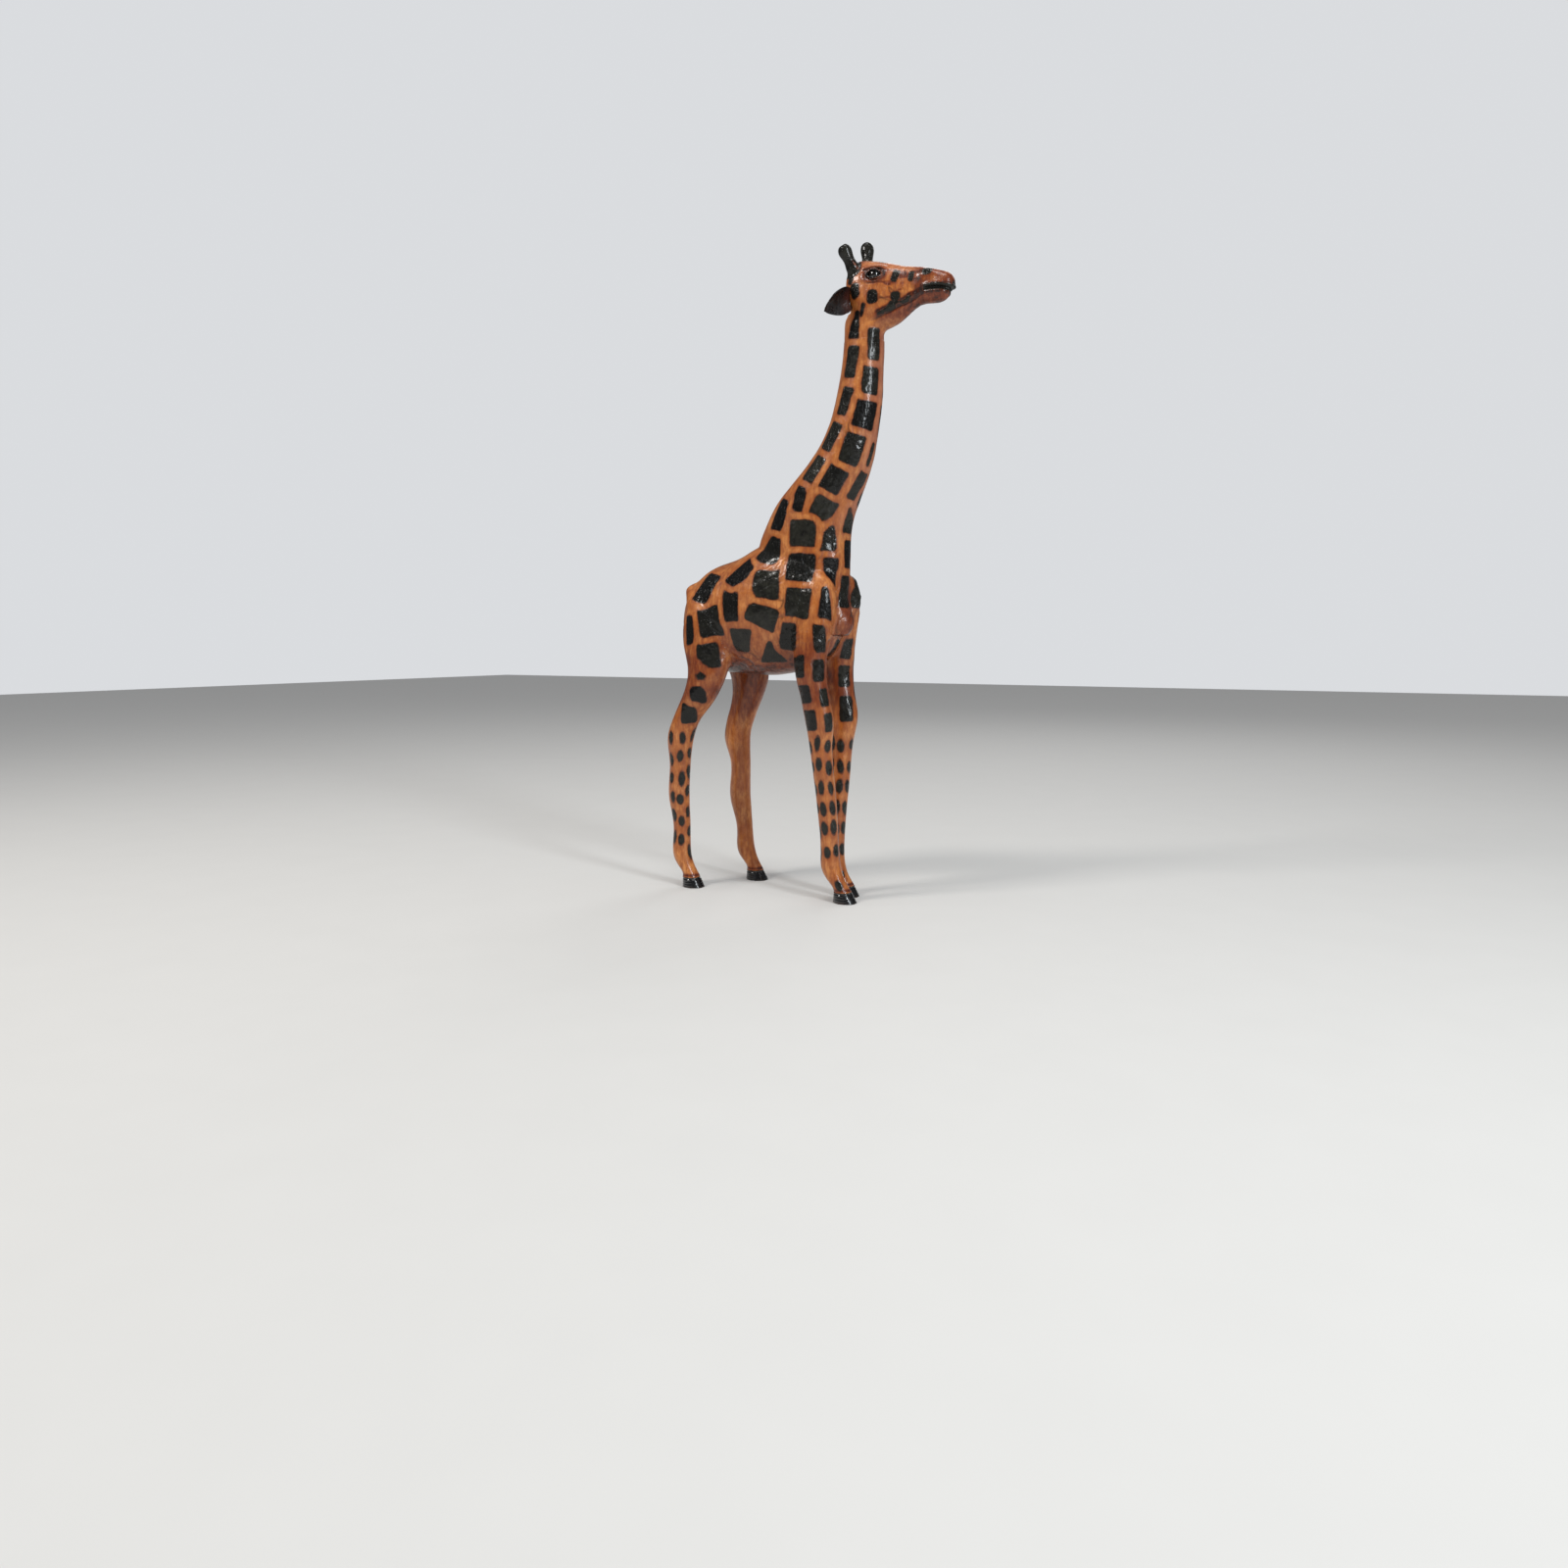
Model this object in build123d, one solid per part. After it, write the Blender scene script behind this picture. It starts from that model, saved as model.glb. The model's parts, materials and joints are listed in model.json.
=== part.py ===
"""Leather-covered giraffe statue: carved softwood core, glued hides, glass eyes and black hooves.

Frame: +X forward (the way the giraffe faces), +Y to its left, +Z up, millimetres. The soles stand on z = 0
and the middle of the whole figure's footprint box is at the origin.
"""
import os
from collections import namedtuple

from build123d import *

# ---------------------------------------------------------------- driving dimensions
# Overall sizes. The section tables further down are drawn at these sizes and stretch with them.
LENGTH = 339.0             # nose to tail
WIDTH = 98.0               # across the belly
HEIGHT = 716.0             # soles to horn tips
DRAWN = (339.0, 98.0, 716.0)
STRETCH_X, STRETCH_Y, STRETCH_Z = LENGTH / DRAWN[0], WIDTH / DRAWN[1], HEIGHT / DRAWN[2]

HIDE = 1.2                 # thickness of the glued leather
GLUE_GAP = 0.1             # radial gap round every dowel, peg, bead and horn root

LEG_DOWEL_R = 4.0
LEG_DOWEL_LENGTH = 64.0
NECK_DOWEL_R = 7.0
NECK_DOWEL_LENGTH = 76.0
HEAD_DOWEL_R = 4.5
HEAD_DOWEL_LENGTH = 50.0

CORONET = 12.0             # height of the hooves, where the leather stops
SOLE_FLARE_LONG = 3.5      # how much the sole is longer than the coronet, at each end
SOLE_FLARE_SIDE = 1.5      # and wider, at each side
TOE_LEAD = 3.0             # how far the sole's middle lies ahead of the coronet's
CLEFT = 1.6                # width of the slot between the two toes
CLEFT_DEPTH = 9.0          # length of the slot, back from the toe
HOOF_PEG_R = 2.5
HOOF_PEG_IN_LEG = 15.0
HOOF_PEG_IN_HOOF = 6.5

EYE_R = 6.0                # glass bead
LID_R = 1.4                # half thickness of the rolled leather eyelid
LID_OUT = 2.8              # how far the eyelid sits outside the bead's middle
HORN_KNOB_R = 7.2
HORN_NECK_R = 6.3          # thinnest place, under the knob
HORN_ROOT_R = 8.2
HORN_GAP = 4.4             # wood left between the two horn sockets
EAR_HALF_WIDTH = 13.0
EAR_STUB_HALF_WIDTH = 5.0
EAR_THICK = 1.6
EAR_CUP_R = 18.0           # how tightly the leaf of the ear is cupped

TAIL_R = 3.2
TAIL_FIT = 0.3             # clearance between the tail and the rump
TUFT_WALL = 2.0            # hair round the end of the tail
TUFT_GRIP = 8.0            # length of tail that runs up inside the tuft

Slab = namedtuple("Slab", "at mid half_long half_side")       # cut across X: at = x, mid = z, half_long = half height
Foot = namedtuple("Foot", "z x y half_long half_side")        # cut across Z: half_long runs along X

TORSO = [                  # rump to chest
    Slab(-121.0, 317.0, 9.0, 8.0),
    Slab(-114.5, 317.0, 29.0, 22.0),
    Slab(-102.0, 318.0, 45.0, 34.0),
    Slab(-84.0, 319.5, 57.0, 42.0),
    Slab(-58.0, 321.0, 64.0, 46.0),
    Slab(-28.0, 326.0, 71.0, 49.0),
    Slab(4.0, 332.0, 77.0, 51.0),
    Slab(34.0, 335.0, 75.0, 49.0),
    Slab(58.0, 334.0, 64.0, 43.0),
    Slab(74.0, 332.0, 46.0, 32.0),
    Slab(83.0, 331.0, 16.0, 12.0),
]

NECK = [                   # chest to nape: z, x, y, half length, half width
    Foot(300.0, 50.0, 0.0, 40.0, 20.0),
    Foot(330.0, 45.0, 0.0, 47.0, 28.0),
    Foot(370.0, 38.0, 0.0, 53.0, 35.0),
    Foot(402.0, 36.0, 0.0, 55.0, 37.0),
    Foot(426.0, 43.0, 0.0, 51.0, 36.0),
    Foot(448.0, 54.0, 0.0, 48.0, 35.0),
    Foot(470.0, 69.0, 0.0, 42.0, 33.0),
    Foot(492.0, 83.0, 0.0, 35.0, 30.0),
    Foot(514.0, 92.5, 0.0, 30.0, 27.0),
    Foot(540.0, 100.0, 0.0, 26.5, 24.5),
    Foot(566.0, 104.5, 0.0, 24.5, 23.0),
    Foot(592.0, 107.0, 0.0, 22.5, 21.5),
    Foot(618.0, 108.0, 0.0, 21.5, 20.0),
    Foot(640.0, 107.0, 0.0, 18.0, 17.0),
]

HEAD = [                   # occiput to nose
    Slab(88.0, 669.0, 7.0, 6.0),
    Slab(92.5, 667.0, 20.0, 14.0),
    Slab(103.0, 662.0, 33.0, 20.5),
    Slab(118.0, 656.5, 37.0, 21.5),
    Slab(136.0, 655.5, 33.0, 18.5),
    Slab(153.0, 656.5, 27.0, 14.5),
    Slab(170.0, 660.5, 19.5, 12.0),
    Slab(187.0, 659.5, 16.5, 11.5),
    Slab(200.0, 658.0, 13.5, 10.5),
    Slab(208.0, 656.5, 6.0, 5.0),
]

FORE_RIGHT = [             # shoulder to coronet
    Foot(372.0, 60.0, -22.0, 10.0, 9.0),
    Foot(350.0, 64.0, -27.0, 23.0, 17.0),
    Foot(318.0, 63.0, -30.0, 24.0, 17.5),
    Foot(285.0, 61.0, -33.0, 20.5, 16.5),
    Foot(255.0, 62.5, -34.0, 18.0, 15.5),
    Foot(228.0, 67.5, -32.5, 17.0, 14.5),
    Foot(206.0, 71.5, -31.0, 16.5, 14.0),
    Foot(182.0, 72.5, -29.5, 13.5, 12.5),
    Foot(140.0, 75.5, -26.5, 12.0, 11.0),
    Foot(90.0, 79.5, -23.5, 10.8, 10.0),
    Foot(55.0, 81.0, -22.0, 10.8, 10.0),
    Foot(38.0, 82.5, -21.5, 11.5, 10.5),
    Foot(24.0, 89.0, -21.0, 10.0, 9.5),
    Foot(12.0, 96.5, -20.5, 10.5, 10.5),
]

FORE_LEFT = [
    Foot(372.0, 60.0, 22.0, 10.0, 9.0),
    Foot(350.0, 66.0, 28.0, 24.0, 17.5),
    Foot(318.0, 64.0, 30.5, 24.0, 17.5),
    Foot(285.0, 62.0, 33.0, 20.5, 16.5),
    Foot(255.0, 62.5, 34.0, 18.0, 15.5),
    Foot(228.0, 67.5, 32.0, 17.0, 14.5),
    Foot(206.0, 72.0, 30.0, 16.5, 14.0),
    Foot(182.0, 71.5, 28.0, 13.5, 12.5),
    Foot(140.0, 70.5, 24.0, 12.0, 11.0),
    Foot(90.0, 69.5, 18.5, 10.8, 10.0),
    Foot(55.0, 69.5, 15.0, 10.8, 10.0),
    Foot(38.0, 70.5, 13.5, 11.5, 10.5),
    Foot(24.0, 77.0, 12.5, 10.0, 9.5),
    Foot(12.0, 84.5, 12.0, 10.5, 10.5),
]

HIND_RIGHT = [             # haunch to coronet
    Foot(362.0, -84.0, -16.0, 14.0, 9.0),
    Foot(340.0, -80.0, -24.0, 27.0, 17.0),
    Foot(305.0, -76.0, -29.0, 32.5, 19.0),
    Foot(275.0, -72.0, -33.0, 29.5, 18.5),
    Foot(250.0, -73.5, -36.5, 24.0, 17.5),
    Foot(230.0, -82.5, -37.0, 22.0, 16.0),
    Foot(208.0, -98.0, -36.5, 18.5, 14.5),
    Foot(190.0, -108.0, -36.0, 17.0, 13.5),
    Foot(165.0, -112.5, -35.5, 14.5, 12.5),
    Foot(135.0, -114.0, -35.0, 12.8, 11.5),
    Foot(85.0, -113.5, -33.5, 11.2, 10.0),
    Foot(52.0, -113.5, -33.0, 11.0, 10.0),
    Foot(37.0, -112.5, -33.0, 11.2, 10.5),
    Foot(23.0, -106.0, -32.5, 9.5, 9.5),
    Foot(12.0, -100.5, -32.5, 10.5, 10.5),
]

HIND_LEFT = [
    Foot(362.0, -84.0, 16.0, 14.0, 9.0),
    Foot(340.0, -81.0, 24.0, 29.0, 17.0),
    Foot(305.0, -74.0, 29.0, 34.0, 19.0),
    Foot(275.0, -64.0, 33.0, 29.0, 18.5),
    Foot(250.0, -58.0, 36.0, 24.5, 17.5),
    Foot(228.0, -61.5, 37.5, 20.0, 16.0),
    Foot(206.0, -70.0, 38.5, 18.0, 14.5),
    Foot(186.0, -76.5, 39.0, 17.0, 13.5),
    Foot(160.0, -76.0, 39.5, 14.5, 12.5),
    Foot(120.0, -75.0, 40.5, 12.8, 11.5),
    Foot(80.0, -71.5, 41.0, 11.2, 10.0),
    Foot(50.0, -68.5, 41.0, 10.5, 10.0),
    Foot(37.0, -67.0, 41.0, 11.0, 10.5),
    Foot(23.0, -60.0, 41.0, 9.5, 9.5),
    Foot(12.0, -54.5, 41.0, 10.5, 10.5),
]

LEGS = {"fore_right": FORE_RIGHT, "fore_left": FORE_LEFT, "hind_right": HIND_RIGHT, "hind_left": HIND_LEFT}

LEG_DOWELS = {             # x, y, middle height of the dowel between each leg and the torso
    "fore_right": (63.0, -31.0, 283.0),
    "fore_left": (63.0, 31.0, 283.0),
    "hind_right": (-74.0, -34.0, 278.0),
    "hind_left": (-61.0, 34.0, 278.0),
}
NECK_DOWEL = (42.0, 0.0, 402.0)
HEAD_DOWEL = (108.0, 0.0, 632.0)

SIDES = {"right": -1, "left": 1}
EYE = (126.0, 14.5, 674.5)
HORNS = {                  # root inside the skull before it is moved sideways, tip; the two differ
    "right": ((103.0, 0.0, 678.0), (91.5, -22.0, 707.5)),
    "left": ((106.5, 0.0, 680.0), (100.5, 21.0, 719.5)),
}
HORN_PROFILE = [           # share of the length, radius
    (0.0, HORN_ROOT_R), (0.22, 0.5 * (HORN_ROOT_R + HORN_NECK_R)), (0.45, HORN_NECK_R), (0.62, HORN_NECK_R),
    (0.80, HORN_KNOB_R), (0.93, 0.85 * HORN_KNOB_R), (1.0, 0.45 * HORN_KNOB_R),
]
EAR = ((99.0, 14.0, 660.0), (81.5, 46.0, 636.5))      # root inside the head, tip

TAIL_DOCK = (-92.0, 0.0, 357.0)                        # inside the rump
TAIL_OUTLINE = [           # x, z of the rump's own outline under the tail
    (-109.0, 354.5), (-116.5, 341.0), (-120.5, 327.0), (-121.0, 310.0), (-117.5, 292.0), (-113.0, 270.0), (-110.0, 248.0),
]
TUFT_TIP = (-107.0, 0.0, 208.0)
RUMP_MIDDLE = (-60.0, 0.0, 318.0)


def stretched(point):
    """A drawn point moved to the overall sizes."""
    return Vector(point[0] * STRETCH_X, point[1] * STRETCH_Y, point[2] * STRETCH_Z)


def across_x(slabs, skin=0.0):
    """Solid through upright oval sections along X, drawn in by the skin thickness all round."""
    rings = []
    for i, s in enumerate(slabs):
        inset = skin * ((i == 0) - (i == len(slabs) - 1))
        place = Plane((s.at * STRETCH_X + inset, 0, s.mid * STRETCH_Z), x_dir=(0, 1, 0), z_dir=(1, 0, 0))
        rings.append(place * Ellipse(s.half_side * STRETCH_Y - skin, s.half_long * STRETCH_Z - skin))
    return loft(rings)


def across_z(feet, skin=0.0):
    """Solid through level oval sections stacked up Z, drawn in by the skin thickness at the sides."""
    rings = [
        Pos(stretched((f.x, f.y, f.z))) * Ellipse(f.half_long * STRETCH_X - skin, f.half_side * STRETCH_Y - skin)
        for f in sorted(feet, key=lambda f: f.z)
    ]
    return loft(rings)


def rod(start, direction, length, radius):
    """Round rod from a start point along a direction."""
    upward = (Align.CENTER, Align.CENTER, Align.MIN)
    return Plane(origin=start, z_dir=direction) * Cylinder(radius, length, align=upward)


def dowel(middle, length, radius, spare=0.0):
    """Upright dowel; spare makes the bore that it goes into."""
    start = stretched(middle) - Vector(0, 0, length / 2 + spare)
    return rod(start, (0, 0, 1), length + 2 * spare, radius + spare)


def leg_dowel(name, spare=0.0):
    """Dowel that pins one leg to the torso."""
    return dowel(LEG_DOWELS[name], LEG_DOWEL_LENGTH, LEG_DOWEL_R, spare)


def neck_dowel(spare=0.0):
    """Dowel between the torso and the neck."""
    return dowel(NECK_DOWEL, NECK_DOWEL_LENGTH, NECK_DOWEL_R, spare)


def head_dowel(spare=0.0):
    """Dowel between the neck and the head."""
    return dowel(HEAD_DOWEL, HEAD_DOWEL_LENGTH, HEAD_DOWEL_R, spare)


def horn(side, spare=0.0):
    """Horn with its root; spare makes the socket in the skull."""
    root, tip = (stretched(p) for p in HORNS[side])
    root = root + Vector(0, SIDES[side] * (HORN_ROOT_R + GLUE_GAP + HORN_GAP / 2), 0)
    base = Plane(origin=root, z_dir=tip - root)
    length = (tip - root).length
    return loft([base.offset(share * length) * Circle(radius + spare) for share, radius in HORN_PROFILE])


def ear(side):
    """Cupped leather leaf whose stub is glued into a slit in the head."""
    root, tip = (stretched((x, SIDES[side] * y, z)) for x, y, z in EAR)
    length = (tip - root).length
    reach = (tip - root).normalized()
    opening = Vector(1, 0, 0) - reach * reach.X
    edge = Spline((0, EAR_STUB_HALF_WIDTH), (0.35 * length, EAR_HALF_WIDTH),
                  (0.72 * length, 0.72 * EAR_HALF_WIDTH), (length, 0))
    stub = Line((0, EAR_STUB_HALF_WIDTH), (0, -EAR_STUB_HALF_WIDTH))
    leaf = extrude(make_face([edge, mirror(edge, Plane.XZ), stub]), EAR_CUP_R)
    roll = Cylinder(EAR_CUP_R + EAR_THICK, 3 * length) - Cylinder(EAR_CUP_R, 3 * length)
    roll = Pos(0, 0, EAR_CUP_R + EAR_THICK) * Rot(0, 90, 0) * roll
    return Plane(origin=root, x_dir=reach, z_dir=opening) * (leaf & roll)


def eye(side, spare=0.0):
    """Glass bead; spare makes its socket."""
    return Pos(stretched((EYE[0], SIDES[side] * EYE[1], EYE[2]))) * Sphere(EYE_R + spare)


def eyelid(side):
    """Roll of leather round the bead, before it is trimmed to the face."""
    middle = stretched((EYE[0], SIDES[side] * EYE[1], EYE[2])) + Vector(0, SIDES[side] * LID_OUT, 0)
    return Pos(middle) * Rot(90, 0, 0) * Torus(EYE_R, LID_R)


def pastern(leg):
    """Middle of the leg's lowest section and the direction the pastern rises in."""
    low, above = (stretched((f.x, f.y, f.z)) for f in (leg[-1], leg[-2]))
    return low, (above - low).normalized()


def hoof(leg):
    """Cloven hoof under the leg's lowest section."""
    end = leg[-1]
    middle, _ = pastern(leg)
    half_long, half_side = end.half_long * STRETCH_X, end.half_side * STRETCH_Y
    coronet = Pos(middle) * Ellipse(half_long, half_side)
    sole_middle = Vector(middle.X + TOE_LEAD, middle.Y, 0)
    sole = Pos(sole_middle) * Ellipse(half_long + SOLE_FLARE_LONG, half_side + SOLE_FLARE_SIDE)
    toe = sole_middle.X + half_long + SOLE_FLARE_LONG
    slot = Pos(toe, middle.Y, middle.Z / 2) * Box(2 * CLEFT_DEPTH, CLEFT, 2 * middle.Z)
    return loft([sole, coronet]) - slot


def hoof_peg(leg, spare=0.0):
    """Peg along the pastern that joins the hoof to the leg."""
    middle, rise = pastern(leg)
    length = HOOF_PEG_IN_HOOF + HOOF_PEG_IN_LEG + 2 * spare
    return rod(middle - rise * (HOOF_PEG_IN_HOOF + spare), rise, length, HOOF_PEG_R + spare)


def tail_points():
    """Middle line of the tail: out of the dock, then down behind the rump at its clearance."""
    away = TAIL_R + TAIL_FIT
    points = [stretched(TAIL_DOCK)]
    for x, z in TAIL_OUTLINE:
        on_rump = stretched((x, 0, z))
        points.append(on_rump + (on_rump - stretched(RUMP_MIDDLE)).normalized() * away)
    return points


def tail_cord(spare=0.0):
    """Leather-wrapped tail; spare makes its bores in the rump and the tuft."""
    line = Spline(tail_points())
    return sweep(Plane(origin=line @ 0, z_dir=line % 0) * Circle(TAIL_R + spare), path=line)


def tail_tuft():
    """Tuft hanging from the end of the tail, round its last stretch."""
    end, tip = tail_points()[-1], stretched(TUFT_TIP)
    drop = (tip - end).normalized()
    top = Plane(origin=end - drop * TUFT_GRIP, z_dir=drop)
    length = (tip - end).length + TUFT_GRIP
    shape = [(0.0, 0.88), (0.25, 1.0), (0.55, 0.9), (0.85, 0.5), (1.0, 0.15)]
    return loft([top.offset(share * length) * Circle(share_r * (TAIL_R + TUFT_WALL)) for share, share_r in shape])


def less(shape, *cutters):
    """The shape with every cutter removed."""
    for cutter in cutters:
        shape = shape - cutter
    return shape


# ---------------------------------------------------------------- full shapes, with and without their leather
torso_out, torso_in = across_x(TORSO), across_x(TORSO, HIDE)
head_out, head_in = across_x(HEAD), across_x(HEAD, HIDE)
neck_out, neck_in = across_z(NECK), across_z(NECK, HIDE)
leg_out = {name: across_z(leg) for name, leg in LEGS.items()}
leg_in = {name: across_z(leg, HIDE) for name, leg in LEGS.items()}

leg_bores = {name: leg_dowel(name, GLUE_GAP) for name in LEGS}
horn_sockets = [horn(side, GLUE_GAP) for side in SIDES]
eye_sockets = [eye(side, GLUE_GAP) for side in SIDES]
ears = {side: ear(side) for side in SIDES}
tail_bore = tail_cord(GLUE_GAP)

parts = {}

# ---------------------------------------------------------------- carved cores
parts["torso_core"] = less(torso_in, *leg_bores.values(), neck_dowel(GLUE_GAP), tail_bore)
parts["head_core"] = less(head_in, head_dowel(GLUE_GAP), *horn_sockets, *eye_sockets, *ears.values())
parts["neck_core"] = less(neck_in, torso_in, head_in, neck_dowel(GLUE_GAP), head_dowel(GLUE_GAP))
for name, leg in LEGS.items():
    neighbours = [torso_in] + ([neck_out] if name.startswith("fore") else [])
    parts[f"leg_core_{name}"] = less(leg_in[name], *neighbours, leg_bores[name], hoof_peg(leg, GLUE_GAP))
    parts[f"leg_hide_{name}"] = less(leg_out[name], leg_in[name], *neighbours)
    parts[f"hoof_{name}"] = hoof(leg) - hoof_peg(leg, GLUE_GAP)

# ---------------------------------------------------------------- leather over the cores
parts["torso_hide"] = less(torso_out, torso_in, neck_out, *leg_out.values(), tail_bore)
parts["neck_hide"] = less(neck_out, neck_in, torso_in, head_in)
parts["head_hide"] = less(head_out, head_in, neck_out, *horn_sockets, *eye_sockets, *ears.values())

# ---------------------------------------------------------------- dowels and pegs
parts["neck_dowel"] = neck_dowel()
parts["head_dowel"] = head_dowel()
parts["leg_dowels"] = Part() + [leg_dowel(name) for name in LEGS]
parts["hoof_pegs"] = Part() + [hoof_peg(leg) for leg in LEGS.values()]

# ---------------------------------------------------------------- head and tail trimmings
for side in SIDES:
    parts[f"horn_{side}"] = horn(side)
    parts[f"ear_{side}"] = ears[side]
    parts[f"eye_{side}"] = eye(side)
    parts[f"eyelid_{side}"] = less(eyelid(side), head_out, eye(side, GLUE_GAP))
parts["tail_cord"] = tail_cord()
parts["tail_tuft"] = tail_tuft() - tail_bore

# ---------------------------------------------------------------- centre the footprint and write
boxes = [shape.bounding_box() for shape in parts.values()]
middle_x = (min(b.min.X for b in boxes) + max(b.max.X for b in boxes)) / 2
middle_y = (min(b.min.Y for b in boxes) + max(b.max.Y for b in boxes)) / 2
floor_z = min(b.min.Z for b in boxes)
to_centre = Pos(-middle_x, -middle_y, -floor_z)
os.makedirs("parts", exist_ok=True)
for name, shape in parts.items():
    export_step(to_centre * shape, f"parts/{name}.step")
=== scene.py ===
"""Leather-covered giraffe statue: the visual model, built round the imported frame.

The hides are one sculpted skin, split where the maker's leather pieces meet. Every painted marking is a signed
distance stored on the skin, which the leather finish turns into lacquered paint with bled edges.
"""

import json
import logging
import math
from dataclasses import dataclass
from enum import Enum
from typing import Callable, Iterable, Sequence

import bmesh
import bpy
import numpy as np
from mathutils import Matrix, Vector
from mathutils.bvhtree import BVHTree

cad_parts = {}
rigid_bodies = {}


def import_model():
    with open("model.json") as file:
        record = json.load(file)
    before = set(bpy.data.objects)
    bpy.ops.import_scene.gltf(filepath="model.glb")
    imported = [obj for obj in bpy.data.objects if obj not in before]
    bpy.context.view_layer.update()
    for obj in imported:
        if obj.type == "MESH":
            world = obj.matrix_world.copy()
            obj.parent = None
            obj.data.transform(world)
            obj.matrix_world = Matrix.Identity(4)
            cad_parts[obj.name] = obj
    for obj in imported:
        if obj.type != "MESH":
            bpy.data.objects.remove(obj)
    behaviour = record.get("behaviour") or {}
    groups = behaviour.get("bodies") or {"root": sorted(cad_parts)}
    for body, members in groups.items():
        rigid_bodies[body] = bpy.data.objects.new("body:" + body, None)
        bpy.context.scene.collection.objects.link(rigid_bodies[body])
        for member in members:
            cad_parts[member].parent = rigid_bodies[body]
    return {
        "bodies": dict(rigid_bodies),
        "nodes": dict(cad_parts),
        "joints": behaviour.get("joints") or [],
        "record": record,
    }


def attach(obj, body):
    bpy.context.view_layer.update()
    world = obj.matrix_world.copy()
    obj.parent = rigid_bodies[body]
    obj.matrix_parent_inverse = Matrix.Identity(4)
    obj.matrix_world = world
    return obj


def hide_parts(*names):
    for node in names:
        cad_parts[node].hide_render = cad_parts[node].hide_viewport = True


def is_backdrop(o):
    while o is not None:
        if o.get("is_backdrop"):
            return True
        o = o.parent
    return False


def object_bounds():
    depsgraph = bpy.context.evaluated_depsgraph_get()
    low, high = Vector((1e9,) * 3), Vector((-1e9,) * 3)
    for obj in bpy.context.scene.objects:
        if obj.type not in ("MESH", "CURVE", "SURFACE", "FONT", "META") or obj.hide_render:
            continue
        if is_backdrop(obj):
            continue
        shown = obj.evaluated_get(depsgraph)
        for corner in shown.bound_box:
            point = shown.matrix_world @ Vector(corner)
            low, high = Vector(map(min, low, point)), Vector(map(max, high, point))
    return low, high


LOG = logging.getLogger("giraffe")
MM = 0.001
Points = np.ndarray
Colour = tuple[float, float, float]
Place = tuple[float, float, float]
OVAL = 99.0               # corner size that stands for an oval patch
FAR_AWAY = 99.0           # millimetres, more than any distance that matters


class Hide(Enum):
    """The leather pieces of the statue, named after the nodes that they stand for."""

    HEAD = "head_hide"
    NECK = "neck_hide"
    TORSO = "torso_hide"
    FORE_RIGHT = "leg_hide_fore_right"
    FORE_LEFT = "leg_hide_fore_left"
    HIND_RIGHT = "leg_hide_hind_right"
    HIND_LEFT = "leg_hide_hind_left"
    HORN_RIGHT = "horn_right"
    HORN_LEFT = "horn_left"


class Slot(Enum):
    """Material slots of the record."""

    CORE = "core_wood"
    DOWEL = "dowel_wood"
    HIDE = "hide"
    BLACK = "black_leather"
    HOOF = "hoof_black"
    EYE = "eye_glass"


# ------------------------------------------------------------------ noise on arrays of points
def lattice(cells: Points, seed: int) -> Points:
    """Repeatable random value in 0..1 for each whole-number cell.

    Args:
        cells: whole-number coordinates, one row each.
        seed: picks another field.

    Returns:
        One value per row.
    """
    c = cells.astype(np.int64)
    h = (c[:, 0] * 374761393 + c[:, 1] * 668265263 + c[:, 2] * 1274126177 + seed * 97780201) & 0xFFFFFFFF
    h = ((h ^ (h >> 13)) * 1103515245) & 0xFFFFFFFF
    h = ((h ^ (h >> 16)) * 2654435761) & 0xFFFFFFFF
    return ((h ^ (h >> 15)) & 0xFFFFFF) / float(0xFFFFFF)


def noise(points: Points, size: float, seed: int = 0) -> Points:
    """Smooth noise from -1 to 1 whose features are about size across.

    Args:
        points: positions in millimetres.
        size: feature size in millimetres.
        seed: picks another field.

    Returns:
        One value per point.
    """
    p = points / size + 17.0
    base = np.floor(p)
    f = p - base
    f = f * f * f * (f * (f * 6 - 15) + 10)
    total = np.zeros(len(p))
    for corner in range(8):
        o = np.array([corner & 1, corner >> 1 & 1, corner >> 2 & 1])
        weight = np.prod(np.where(o, f, 1 - f), axis=1)
        total += weight * lattice(base + o, seed)
    return total * 2 - 1


def layered(points: Points, size: float, layers: int = 3, seed: int = 0) -> Points:
    """Noise with finer layers of half the size and strength added.

    Args:
        points: positions in millimetres.
        size: feature size of the coarsest layer.
        layers: how many layers.
        seed: picks another field.

    Returns:
        One value per point.
    """
    out = np.zeros(len(points))
    for i in range(layers):
        out += noise(points, size / 2**i, seed + i) * 0.5**i
    return out


def ridged(points: Points, size: float, seed: int = 0) -> Points:
    """Sharp creases: 1 on a crease line, falling to 0 away from it."""
    return (1 - np.abs(noise(points, size, seed))) ** 4


def ramp(x: Points, low: float, high: float) -> Points:
    """Smooth step from 0 at low to 1 at high; high may be below low."""
    t = np.clip((x - low) / (high - low), 0, 1)
    return t * t * (3 - 2 * t)


def gauss(x: Points, width: float) -> Points:
    """Bell curve of the given width."""
    return np.exp(-((x / width) ** 2))


# ------------------------------------------------------------------ painted markings
@dataclass(frozen=True)
class Patch:
    """One painted patch, a rounded quadrilateral lying on the leather.

    Sizes are half sizes in millimetres; tilt turns it clockwise in degrees, and taper narrows its top.
    """

    x: float
    y: float
    z: float
    tall: float
    wide: float
    tilt: float = 0.0
    taper: float = 0.0
    corner: float = 3.0

    def mirrored(self, shift: Callable[[float], float]) -> "Patch":
        """The same patch on the other side, moved a little so that the sides differ."""
        return Patch(self.x + shift(3), -self.y, self.z + shift(3), self.tall * (1 + shift(0.08)),
                     self.wide * (1 + shift(0.08)), -self.tilt + shift(6), self.taper, self.corner)


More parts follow.
